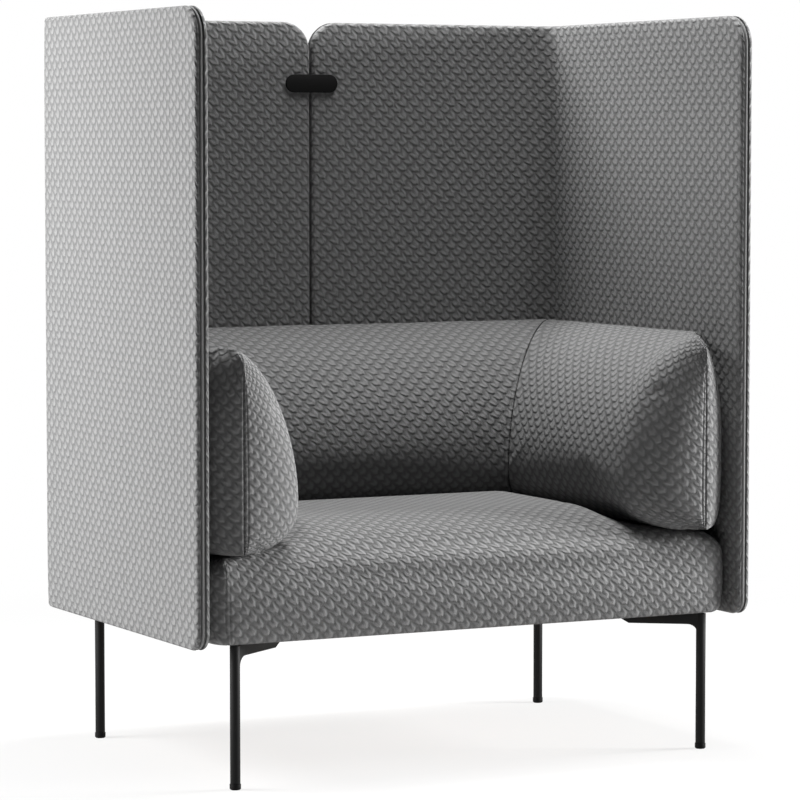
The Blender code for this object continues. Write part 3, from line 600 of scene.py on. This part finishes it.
def flat_outline(name, length, inset):
    """A flat cut with X along the screen and Y up it, its four corners rounded. Left in edit mode."""
    deselect()
    bpy.ops.mesh.primitive_plane_add(size=1)
    cut = bpy.context.object
    cut.name = name
    low = SCREEN_LOW + inset
    high = SCREEN_HIGH - inset
    cut.scale = (length - 2 * inset, high - low, 1)
    cut.location = (length / 2, (low + high) / 2, 0)
    bpy.ops.object.transform_apply()
    bpy.ops.object.mode_set(mode="EDIT")
    for level, radius in ((high, TOP_CORNER), (low, BOTTOM_CORNER)):
        pick(cut, "verts", lambda v: abs(v.co.y - level) < TINY)
        bpy.ops.mesh.bevel(offset=radius - inset, segments=CORNER_STEPS, affect="VERTICES")
    return cut


def thicken(thickness):
    bpy.ops.mesh.select_all(action="SELECT")
    bpy.ops.mesh.extrude_region_move(TRANSFORM_OT_translate={"value": (0, 0, thickness)})


def screen_lengths(face):
    """Where the bend starts and ends, and the whole length, along a screen's face at an offset."""
    start = BACK_Y - SCREEN_BEND - FRONT_Y
    end = start + (SCREEN_BEND - face) * math.pi / 2
    return start, end, end + HALF_WIDTH - SCREEN_BEND - SLIT_X


def bend_round(piece, side, face, base, outward):
    """Bends a flat cut round the screen: Z, the height over the base offset, goes outward or inward."""
    co = points_of(piece)
    start, end, _ = screen_lengths(face)
    offset = base - outward * co[:, 2]
    along = co[:, 0]
    turn = np.clip((along - start) / (SCREEN_BEND - face), 0, math.pi / 2)
    radius = SCREEN_BEND - offset
    past = np.maximum(along - end, 0)
    before = np.maximum(start - along, 0)
    x = HALF_WIDTH - SCREEN_BEND + radius * np.cos(turn) - past
    y = BACK_Y - SCREEN_BEND + radius * np.sin(turn) - before
    set_points(piece, np.stack([side * x, y, co[:, 1]], 1))
    face_outwards(piece)


def screen_cuts(face, spacing):
    """Places along a screen for its mesh lines, close together round the bend."""
    start, end, length = screen_lengths(face)
    straight = np.arange(spacing, start, spacing)
    bend = np.linspace(start, end, BEND_LINES)
    rest = np.arange(end + spacing, length, spacing)
    return np.concatenate([straight, bend, rest])


def screen_pad(name, side, face, base, outward, node):
    """One padded face of a screen, its cover turned over the edges."""
    _, _, length = screen_lengths(face)
    pad = flat_outline(name, length, 0.0)
    thicken(PAD_THICKNESS + PAD_LAP)
    bpy.ops.mesh.select_all(action="SELECT")
    bpy.ops.transform.translate(value=(0, 0, -PAD_LAP))
    pick(pad, "faces", lambda f: all(v.co.z < TINY - PAD_LAP for v in f.verts))
    bpy.ops.mesh.inset(thickness=PAD_LAP_DEPTH)
    bpy.ops.transform.translate(value=(0, 0, PAD_LAP))
    top = PAD_THICKNESS - TINY
    pick(pad, "edges", lambda e: all(v.co.z > top for v in e.verts))
    bpy.ops.mesh.bevel(offset=PAD_ROUND, segments=PAD_ROUND_STEPS, affect="EDGES")
    bisect(0, screen_cuts(face, PAD_GRID))
    bisect(1, np.arange(SCREEN_LOW + PAD_GRID, SCREEN_HIGH, PAD_GRID))
    merge(PAD_MERGE)
    leave()
    co = points_of(pad)
    edge = np.minimum.reduce(
        [co[:, 0], length - co[:, 0], co[:, 1] - SCREEN_LOW, SCREEN_HIGH - co[:, 1]]
    )
    swell = PAD_SWELL * (1 - np.exp(-np.maximum(edge - PAD_ROUND, 0) / PAD_SWELL_REACH))
    turned_over = PAD_THICKNESS - co[:, 2]
    middle = np.array([length / 2, (SCREEN_LOW + SCREEN_HIGH) / 2])
    away = np.sign(co[:, :2] - middle) * np.where(edge < PAD_ROUND, turned_over, 0)[:, None]
    lay_weave(pad, side * outward * (co[:, 0] + away[:, 0]), co[:, 1] + away[:, 1])
    co[:, 2] += np.where(co[:, 2] > top, swell, 0)
    set_points(pad, co)
    bend_round(pad, side, face, base, outward)
    dress(pad, fabric, "fabric", node, fill=TIGHT)


def screen_border(name, side, node):
    """The strip sewn between the two pads of a screen, all round its edge, with a rib along its middle."""
    _, _, length = screen_lengths(0.0)
    strip = flat_outline(name, length, GROOVE_DEPTH)
    thicken(BOARD_THICKNESS)
    rib_low = (BOARD_THICKNESS - RIB_WIDTH) / 2
    rib_high = (BOARD_THICKNESS + RIB_WIDTH) / 2
    bisect(2, [rib_low, rib_high])
    pick(strip, "faces", lambda f: rib_low < f.calc_center_median().z < rib_high)
    bpy.ops.mesh.extrude_region_shrink_fatten(TRANSFORM_OT_shrink_fatten={"value": RIB_RISE})
    form = bmesh.from_edit_mesh(strip.data)
    rims = {edge.index for edge in form.edges if edge.select and level_edge(edge)}
    pick(strip, "edges", lambda e: e.index in rims)
    bpy.ops.mesh.bevel(offset=RIB_ROUND, segments=RIB_ROUND_STEPS, affect="EDGES")

    def flat_side(face):
        on_rib = rib_low - TINY < face.verts[0].co.z < rib_high + TINY
        return abs(face.normal.z) > 0.99 and not on_rib

    pick(strip, "faces", flat_side)
    bpy.ops.mesh.inset(thickness=BORDER_DEPTH, use_boundary=True)
    bpy.ops.mesh.delete(type="FACE")
    pick(strip, "edges", lambda e: e.is_boundary)
    bpy.ops.mesh.bridge_edge_loops()
    bisect(0, screen_cuts(0.0, BORDER_GRID))
    leave()
    co = points_of(strip)
    lay_weave(strip, co[:, 0] + co[:, 2], co[:, 1] + co[:, 2])
    bend_round(strip, side, 0.0, (SCREEN_THICKNESS + BOARD_THICKNESS) / 2, 1)
    dress(strip, border, "fabric_border", node)


for word, side in (("left", -1), ("right", 1)):
    screen = word + "_screen_"
    inner_base = SCREEN_THICKNESS - PAD_THICKNESS
    screen_pad(screen + "outer_cover", side, 0.0, PAD_THICKNESS, 1, screen + "outer_pad")
    screen_pad(screen + "inner_cover", side, SCREEN_THICKNESS, inner_base, -1, screen + "inner_pad")
    screen_border(screen + "border", side, screen + "edge_band")


# Covers that are sewn and filled

def smooth(low, high, value):
    """Rises gently from 0 to 1 between two values."""
    share = np.clip((value - low) / (high - low), 0, 1)
    return share * share * (3 - 2 * share)


def bulge(run, depth, power=2):
    """Rises from 0 to 1 over a depth, as a quarter of an ellipse does."""
    left = 1 - np.clip(run / depth, 0, 1)
    return (1 - left**power) ** (1 / power)


def d_section(share, upright=0.0):
    """Depth, height and length of cover at a share of the way round the D, from its top to its bottom.

    Upright shares go by height and not by length. The whole length of the D comes last.
    """
    angle = np.linspace(math.pi / 2, -math.pi / 2, SECTION_SAMPLES)
    power = np.where(angle > 0, 2 / UPPER_FULLNESS, 2 / LOWER_FULLNESS)
    reach = np.where(angle > 0, BOLSTER_HIGH - BELLY_Z, BELLY_RISE)
    depth = BELLY_DEPTH * np.maximum(np.cos(angle), 0) ** power
    height = BELLY_Z + np.sign(angle) * reach * np.abs(np.sin(angle)) ** power
    steps = np.hypot(np.diff(depth), np.diff(height))
    length = np.concatenate([[0], np.cumsum(steps)])
    level = BOLSTER_HIGH + share * (BOLSTER_LOW - BOLSTER_HIGH)
    by_level = np.interp(-level, -height, length)
    at = share * length[-1] * (1 - upright) + by_level * upright
    return np.interp(at, length, depth), np.interp(at, length, height), at, length[-1]


def sheet(name, stations, place, flatten=False):
    """A flat grid laid onto a form: place gives points, weave lengths and seam distances."""
    deselect()
    columns = len(stations) - 1
    bpy.ops.mesh.primitive_grid_add(x_subdivisions=columns, y_subdivisions=SECTION_ROWS, size=1)
    piece = bpy.context.object
    piece.name = name
    flat = points_of(piece) + 0.5
    stage = np.interp(flat[:, 0], np.linspace(0, 1, len(stations)), stations)
    points, across, up, seam, stitch, held = place(stage, 1 - flat[:, 1])
    lay_weave(piece, across, up)
    write_lengths(piece, "seam", seam)
    write_lengths(piece, "stitch", stitch)
    write_lengths(piece, "held", held)
    set_points(piece, points)
    if flatten:
        flatten_weave(piece, across, up)
    return piece


def sew(first, second):
    """Joins two covers along the edges that they share and closes what is left open."""
    activate(first)
    second.select_set(True)
    bpy.ops.object.join()
    edit(first)
    pick(first, "verts", lambda v: v.is_boundary)
    bpy.ops.mesh.remove_doubles(threshold=SEWN_MERGE)
    pick(first, "edges", lambda e: e.is_boundary)
    bpy.ops.mesh.fill_holes(sides=0)
    leave()
    face_outwards(first)


def puff(piece, slack, most):
    """Lets a slightly small cover fill under pressure, held where it is sewn or rests on the frame."""
    held = read_lengths(piece, "held")
    co = points_of(piece)
    loose = smooth(0.0, LOOSE_REACH, read_lengths(piece, "seam")) * (held < 0.5)
    co -= normals_of(piece) * (slack * loose)[:, None]
    set_points(piece, co)
    group = piece.vertex_groups.new(name="held")
    group.add([int(i) for i in np.flatnonzero(loose < HELD_SHARE)], 1.0, "REPLACE")
    activate(piece)
    cloth = piece.modifiers.new("cover", "CLOTH")
    cloth.settings.quality = 6
    cloth.settings.mass = 0.3
    cloth.settings.tension_stiffness = 18
    cloth.settings.compression_stiffness = 18
    cloth.settings.bending_stiffness = 0.6
    cloth.settings.use_pressure = True
    cloth.settings.uniform_pressure_force = CLOTH_PRESSURE
    cloth.settings.vertex_group_mass = group.name
    cloth.settings.effector_weights.gravity = 0
    cloth.collision_settings.use_collision = False
    cloth.point_cache.frame_start = 1
    cloth.point_cache.frame_end = CLOTH_FRAMES
    for number in range(1, CLOTH_FRAMES + 1):
        bpy.context.scene.frame_set(number)
    bpy.ops.object.modifier_apply(modifier=cloth.name)
    bpy.context.scene.frame_set(1)
    piece.vertex_groups.clear()
    move = points_of(piece) - co
    size = np.maximum(np.linalg.norm(move, axis=1), TINY)
    set_points(piece, co + move * np.minimum(1, most / size)[:, None])


def finish_cover(piece, node):
    """Subdivides a filled cover once and presses its seams and rows of stitches in."""
    activate(piece)
    rounding = piece.modifiers.new("rounding", "SUBSURF")
    rounding.levels = 1
    rounding.render_levels = 1
    rounding.uv_smooth = "NONE"
    rounding.use_limit_surface = False
    bpy.ops.object.modifier_apply(modifier=rounding.name)
    seam = read_lengths(piece, "seam")
    stitch = read_lengths(piece, "stitch")
    press = SEAM_DEPTH * np.exp(-((seam / SEAM_WIDTH) ** 2))
    press += STITCH_DEPTH * np.exp(-((stitch / STITCH_WIDTH) ** 2))
    set_points(piece, points_of(piece) - normals_of(piece) * press[:, None])
    # Shares of the band beside each seam and row of stitches that the weave darkens with painted shade
    write_lengths(piece, "sewn", np.clip(1 - seam / SEWN_REACH, 0, 1))
    write_lengths(piece, "stitched", np.clip(1 - np.abs(stitch) / SEWN_REACH, 0, 1))
    dress(piece, fabric, "fabric", node, fill=TIGHT)


# Bolsters

def nose_path(stage):
    """Run behind the tip, and the lengths of the belly and strip covers, round the nose of an arm."""
    turn = np.linspace(0, math.pi / 2, NOSE_SAMPLES)
    run = NOSE_INNER_DEPTH * (1 - np.cos(turn))
    belly = (BELLY_DEPTH - NOSE_RIDGE) * bulge(run, NOSE_INNER_DEPTH, NOSE_INNER_FULLNESS)
    strip = NOSE_RIDGE * bulge(run, NOSE_OUTER_DEPTH)
    at = np.clip(stage, 0, 1) * math.pi / 2
    lengths = []
    for side in (belly, strip):
        steps = np.hypot(np.diff(run), np.diff(side))
        lengths.append(np.interp(at, turn, np.concatenate([[0], np.cumsum(steps)])))
    return NOSE_INNER_DEPTH * (1 - np.cos(at)), lengths[0], lengths[1]


def climb(across, z):
    """The height of each point of a strip, measured along the strip from its middle row."""
    across = across.reshape(SECTION_ROWS + 1, -1)
    z = z.reshape(SECTION_ROWS + 1, -1)
    steps = np.hypot(np.diff(across, axis=0), np.diff(z, axis=0))
    length = np.concatenate([np.zeros_like(z[:1]), np.cumsum(steps, axis=0)])
    middle = SECTION_ROWS // 2
    return (length - length[middle] + z[middle]).ravel()


def arm_cover(side, strip):
    """Place function of one cover of an arm: its belly, or the strip between front seam and screen."""
    tip = ARM_LOW.y
    start = tip + NOSE_INNER_DEPTH

    def place(stage, row):
        run, belly_run, strip_run = nose_path(stage)
        straight = np.clip(stage - 1, 0, 1)
        full = bulge(run, NOSE_INNER_DEPTH, NOSE_INNER_FULLNESS)
        depth, height, at, whole = d_section(row, 1 - full)
        share = depth / BELLY_DEPTH
        end = BOLSTER_Y - CORNER_RELIEF - (BELLY_DEPTH - CORNER_RELIEF) * share - MITRE_GAP
        outer_end = BOLSTER_Y - CORNER_RELIEF - MITRE_GAP
        if strip:
            end = np.full_like(end, outer_end)
        y = tip + run + straight * (end - start)
        to_bend = BOLSTER_Y - (tip + run + straight * (outer_end - start))
        to_mitre = np.where(stage < 1, NO_SEAM, (1 - straight) * (end - start))
        pull = MITRE_DRAW * (1 - bulge(to_mitre, MITRE_LENGTH))
        behind = y - tip
        near = NOSE_RIDGE * (1 - bulge(behind, NOSE_OUTER_DEPTH))
        rounded = STRIP_ROUND * bulge(behind, STRIP_START)
        rounded *= 1 - smooth(STRIP_FADE, STRIP_END, behind)
        edge = np.minimum(near + rounded, NOSE_RIDGE)
        at_bend = INNER_BEND * (1 - bulge(to_bend, INNER_BEND))
        near += at_bend
        edge += at_bend
        far = NOSE_RIDGE + (BELLY_DEPTH - NOSE_RIDGE) * full - pull
        drop = 1 - bulge(run, NOSE_TOP_DEPTH)
        high = BOLSTER_HIGH - NOSE_TOP_DROP * drop - pull
        low = BOLSTER_LOW + NOSE_BOTTOM_LIFT * drop + pull / 2
        level = (height - BOLSTER_LOW) / (BOLSTER_HIGH - BOLSTER_LOW)
        z = low + (high - low) * level
        if strip:
            off_middle = np.minimum(np.abs(2 * level - 1), 1)
            power = np.where(level < 0.5, STRIP_LOW_FULLNESS, STRIP_FULLNESS)
            across = edge - (edge - near) * (1 - off_middle**power) ** (1 / power)
            weave = side * (strip_run + straight * (end - start)), climb(across, z) - BELLY_Z
        else:
            across = edge + (far - edge) * share
            weave = -side * (belly_run + straight * (end - start)), -at
        front = np.where(behind < STRIP_END, np.minimum(at, whole - at), NO_SEAM)
        front = np.minimum(front, strip_run if strip else belly_run)
        seam = np.minimum(front, to_mitre + QUIET_SEAM)
        stitch = np.full_like(seam, NO_SEAM) if strip else front - STITCH_OFFSET
        held = (behind > NOSE_OUTER_DEPTH) * 1.0 if strip else np.zeros_like(seam)
        points = np.stack([side * (ARM_X - across), y, z], 1)
        return points, weave[0], weave[1], seam, stitch, held

    return place


def back_cover(rear):
    """Place function of one cover of the back cushion: its belly, or the flat part against the screens."""

    def place(stage, row):
        depth, height, at, _ = d_section(row)
        share = depth / BELLY_DEPTH
        outer_end = ARM_X - CORNER_RELIEF - MITRE_GAP
        end = outer_end - (BELLY_DEPTH - CORNER_RELIEF) * share
        if rear:
            end = np.full_like(end, outer_end)
        x = end * stage
        to_mitre = end * (1 - np.abs(stage))
        to_bend = ARM_X - np.abs(outer_end * stage)
        pull = MITRE_DRAW * (1 - bulge(to_mitre, MITRE_LENGTH))
        near = INNER_BEND * (1 - bulge(to_bend, INNER_BEND))
        far = BELLY_DEPTH - pull
        high = BOLSTER_HIGH - pull
        low = BOLSTER_LOW + pull / 2
        z = low + (high - low) * (height - BOLSTER_LOW) / (BOLSTER_HIGH - BOLSTER_LOW)
        across = near if rear else near + (far - near) * share
        seam = to_mitre + QUIET_SEAM
        stitch = np.full_like(seam, NO_SEAM) if rear else to_mitre - STITCH_OFFSET
        held = np.full_like(seam, 1.0 if rear else 0.0)
        points = np.stack([x, BOLSTER_Y - across, z], 1)
        return points, x, z if rear else -at, seam, stitch, held

    return place


for word, side in (("left", -1), ("right", 1)):
    arm = sheet(word + "_arm_cover", ARM_STATIONS, arm_cover(side, strip=False), flatten=True)
    strip = sheet(word + "_arm_strip", ARM_STATIONS, arm_cover(side, strip=True))
    sew(arm, strip)
    puff(arm, BOLSTER_SLACK, BOLSTER_FILL)
    finish_cover(arm, word + "_arm_cushion")

back = sheet("back_cover", BACK_STATIONS, back_cover(rear=False))
rear = sheet("back_rear_cover", BACK_STATIONS, back_cover(rear=True))
sew(back, rear)
puff(back, BOLSTER_SLACK, BOLSTER_FILL)
finish_cover(back, "back_cushion")


# Seat

def seat_crown(x, y):
    """How far the top of the seat rises over its rim."""
    inside = np.minimum(ARM_X - np.abs(x), BOLSTER_Y - y)
    open_part = smooth(*SEAT_OPEN, inside)
    front = np.clip((y - SEAT_LOW.y - SEAT_EDGE) / SEAT_CROWN_RUN, 0, 1)
    return SEAT_CROWN * open_part * (1 - (1 - front) ** 2)


def seat_weave(x, y, z, rim):
    """Lengths across and up the seat's cover, which rolls over its top edge and round its corners."""
    half = SEAT_HIGH.x
    front = SEAT_LOW.y
    out = np.maximum(front + SEAT_EDGE - y, np.abs(x) - half + SEAT_EDGE)
    over = z - rim + SEAT_EDGE
    rolled = SEAT_EDGE * np.arctan2(np.maximum(over, 0), np.maximum(out, TINY))
    top = over > SEAT_EDGE - SEAT_FLAT
    up = np.where(over > 0, rolled, over)
    up = np.where(top, SEAT_EDGE * math.pi / 2 + y - front - SEAT_EDGE, up)
    beside = np.abs(x) - half + SEAT_CORNER
    ahead = front + SEAT_CORNER - y
    round_corner = SEAT_CORNER * np.arctan2(np.maximum(beside, 0), np.maximum(ahead, TINY))
    along = half - SEAT_CORNER + round_corner + np.maximum(-ahead, 0)
    return np.where((beside > 0) & ~top, np.sign(x) * along, x), up


def seat_cover():
    """The seat's cover, from a block with rounded corners, edge and hem to a filled, crowned cushion."""
    half = SEAT_HIGH.x
    front = SEAT_LOW.y
    rear = SEAT_HIGH.y
    rim = BOLSTER_LOW - SEAT_GAP
    hem = SEAT_LOW.z + SEAT_LIFT
    seat = block("seat_cover", Vector((-half, front, hem)), Vector((half, rear, rim)))
    pick(seat, "edges", upright_edge)
    bpy.ops.mesh.bevel(offset=SEAT_CORNER, segments=SEAT_EDGE_STEPS, affect="EDGES")
    pick(seat, "edges", lambda e: all(v.co.z > rim - TINY for v in e.verts))
    bpy.ops.mesh.bevel(offset=SEAT_EDGE, segments=SEAT_EDGE_STEPS, affect="EDGES")
    pick(seat, "edges", lambda e: all(v.co.z < hem + TINY for v in e.verts))
    bpy.ops.mesh.bevel(offset=SEAT_HEM, segments=SEAT_HEM_STEPS, affect="EDGES")
    near_seam = SEAT_SEAM_X + SEAT_SEAM_GRID * SEAT_SEAM_LINES
    across = np.arange(-SEAT_GRID_END, SEAT_GRID_END + SEAT_GRID, SEAT_GRID)
    across = across[np.abs(across - near_seam.mean()) > SEAT_GRID]
    bisect(0, np.concatenate([near_seam, across]))
    bisect(1, np.arange(front + SEAT_GRID_FRONT, rear - SEAT_GRID_REAR, SEAT_GRID))
    bisect(2, np.linspace(hem + SEAT_GRID_LOW, rim - SEAT_EDGE - SEAT_GRID_HIGH, SEAT_GRID_LEVELS))
    merge(SEAT_MERGE)
    leave()
    face_outwards(seat)
    x, y, z = points_of(seat).T
    lay_weave(seat, *seat_weave(x, y, z, rim))
    lift = seat_crown(x, y) * smooth(rim - SEAT_EDGE, rim, z)
    off_middle = (2 * z - rim - hem) / (rim - hem)
    pulled = np.where(off_middle > 0, SEAT_TOP_PULL * off_middle**2, SEAT_BOTTOM_PULL * off_middle**6)
    pulled *= smooth(half - SEAT_PULL_REACH, half, np.abs(x))
    low_front = (y < front + SEAT_SEAM_DEPTH) & (z < rim - SEAT_SEAM_TOP)
    seam = np.where(low_front, np.abs(x - SEAT_SEAM_X) + QUIET_SEAM, NO_SEAM)
    stitch = np.where(low_front, x - SEAT_SEAM_X - STITCH_OFFSET, NO_SEAM)
    under_bolsters = np.minimum(ARM_X - np.abs(x), BOLSTER_Y - y) < SEAT_COVERED
    covered = under_bolsters & (y > front + SEAT_OPEN_FRONT)
    walled = (np.abs(x) > half - SEAT_WALL) | (y > rear - SEAT_WALL)
    held = covered | walled | (z < hem + SEAT_HEM + TINY)
    write_lengths(seat, "seam", seam)
    write_lengths(seat, "stitch", stitch)
    write_lengths(seat, "held", held * 1.0)
    set_points(seat, np.stack([x - np.sign(x) * pulled, y, z + lift], 1))
    puff(seat, SEAT_SLACK, SEAT_FILL)
    finish_cover(seat, "seat_cushion")


def base_board():
    """The plywood panel that closes the seat from below, with rounded corners behind the hem."""
    board = block("base_board", BASE_LOW + BASE_INSET, BASE_HIGH - BASE_INSET)
    pick(board, "edges", upright_edge)
    bpy.ops.mesh.bevel(offset=BASE_CORNER, segments=BASE_CORNER_STEPS, affect="EDGES")
    pick(board, "edges", level_edge)
    bpy.ops.mesh.bevel(offset=BASE_EDGE, segments=2, affect="EDGES")
    leave()
    dress(board, plywood, "plywood", "base_panel")


seat_cover()
base_board()


# Hard pieces that show: copies of their solids with softened edges

def soften(name, material, slot, body, width):
    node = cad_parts[name]
    piece = node.copy()
    piece.data = node.data.copy()
    piece.name = name + "_finished"
    bpy.context.scene.collection.objects.link(piece)
    edit(piece)
    merge(SOLID_MERGE)
    bpy.ops.mesh.normals_make_consistent(inside=False)
    leave()
    bpy.ops.object.transform_apply(location=True, rotation=True, scale=True)
    rounding = piece.modifiers.new("rounding", "BEVEL")
    rounding.width = width
    rounding.segments = 2
    rounding.limit_method = "ANGLE"
    rounding.angle_limit = EDGE_ANGLE
    bpy.ops.object.modifier_apply(modifier=rounding.name)
    dress(piece, material, slot, name, body=body)


for corner in ("front_left", "front_right", "rear_left", "rear_right"):
    soften("leg_" + corner, powder_coat, "black_metal", "sofa", LEG_EDGE)
    soften("glide_" + corner, moulded, "black_plastic", corner + "_glide", LEG_EDGE)
for end in ("front", "rear"):
    soften("connector_" + end + "_plate", moulded, "black_plastic", "sofa", PLATE_EDGE)

# Bare frame pieces keep their solids, and each takes the finish of the last word here in its name
FINISHES = {
    "leg_front": powder_coat,
    "leg_rear": powder_coat,
    "board": plywood,
    "base_panel": plywood,
    "rail": beech,
    "strap": elastic,
    "screw": zinc,
    "bolt": zinc,
    "stud": zinc,
    "cushion": fabric,
}
for name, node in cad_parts.items():
    finish = moulded
    for word, own_finish in FINISHES.items():
        if word in name:
            finish = own_finish
    node.data.materials.clear()
    node.data.materials.append(finish)


# Floor, light and camera

def seen_directly(tree):
    """1 for what the camera, a mirror or glass shows, and 0 for the light that falls on the sofa."""
    path = add_node(tree, "ShaderNodeLightPath", {}).outputs
    seen = path["Is Camera Ray"]
    for ray in ("Is Glossy Ray", "Is Transmission Ray"):
        seen = add_node(tree, "ShaderNodeMath", {0: seen, 1: path[ray]}, operation="MAXIMUM").outputs[0]
    return seen


def white_floor():
    """A pale matt floor that shows as white, but for part of the soft shadow near the sofa."""
    deselect()
    bpy.ops.mesh.primitive_circle_add(vertices=96, radius=FLOOR_RADIUS, fill_type="NGON")
    floor = bpy.context.object
    floor.name = "studio_floor"
    material = bpy.data.materials.new("pale_floor")
    material.use_nodes = True
    tree = material.node_tree
    tree.nodes.clear()
    place = add_node(tree, "ShaderNodeTexCoord", {}).outputs["Object"]
    reach = add_node(tree, "ShaderNodeVectorMath", {0: place}, operation="LENGTH").outputs["Value"]
    near = add_node(
        tree,
        "ShaderNodeMapRange",
        {
            "Value": reach,
            "From Min": SHADOW_REACH[0],
            "From Max": SHADOW_REACH[1],
            "To Min": SHADOW_SHARE,
            "To Max": 0.0,
        },
        interpolation_type="SMOOTHSTEP",
    ).outputs["Result"]
    white = add_node(tree, "ShaderNodeEmission", {"Color": linear("#FFFFFF"), "Strength": 1.0}).outputs[0]
    matt = add_node(tree, "ShaderNodeBsdfDiffuse", {"Color": linear("#BCBCBC")}).outputs[0]
    shown = add_node(tree, "ShaderNodeMixShader", {0: near, 1: white, 2: matt}).outputs[0]
    both = add_node(tree, "ShaderNodeMixShader", {0: seen_directly(tree), 1: matt, 2: shown}).outputs[0]
    add_node(tree, "ShaderNodeOutputMaterial", {"Surface": both})
    floor.data.materials.append(material)


def white_room():
    """White all round for the camera and for mirrors, which gives the sofa no light."""
    world = bpy.data.worlds.new("studio")
    world.use_nodes = True
    bpy.context.scene.world = world
    tree = world.node_tree
    background = tree.nodes["Background"]
    background.inputs["Color"].default_value = linear("#FFFFFF")
    tree.links.new(seen_directly(tree), background.inputs["Strength"])


def soft_box(name, place, size, power):
    """A square soft light aimed at the middle of the sofa."""
    light = bpy.data.lights.new(name, "AREA")
    light.shape = "SQUARE"
    light.size = size
    light.energy = power
    lamp = bpy.data.objects.new(name, light)
    bpy.context.scene.collection.objects.link(lamp)
    lamp.location = place
    towards = LIGHT_TARGET - lamp.location
    lamp.rotation_euler = towards.to_track_quat("-Z", "Y").to_euler()


white_floor()
white_room()

# Soft lights: place, side in metres and power in watts
soft_box("left_low", (-2.7, 0.5, 0.8), 1.4, 98)
soft_box("left_high", (-2.2, 0.9, 2.2), 1.0, 110)
soft_box("right_front", (2.95, -1.05, 1.2), 1.0, 280)
soft_box("overhead", (0.3, 0.5, 3.0), 0.8, 94)
soft_box("over_seat", (0.5, -0.3, 3.0), 0.6, 40)

camera = bpy.data.objects.new("camera", bpy.data.cameras.new("camera"))
bpy.context.scene.collection.objects.link(camera)
camera.location = CAMERA_PLACE
camera.rotation_euler = (math.radians(90 - CAMERA_ELEVATION), 0, math.radians(CAMERA_AZIMUTH))
camera.data.lens = CAMERA_LENS
camera.data.sensor_width = CAMERA_SENSOR
bpy.context.scene.camera = camera
bpy.context.scene.view_settings.view_transform = "Standard"
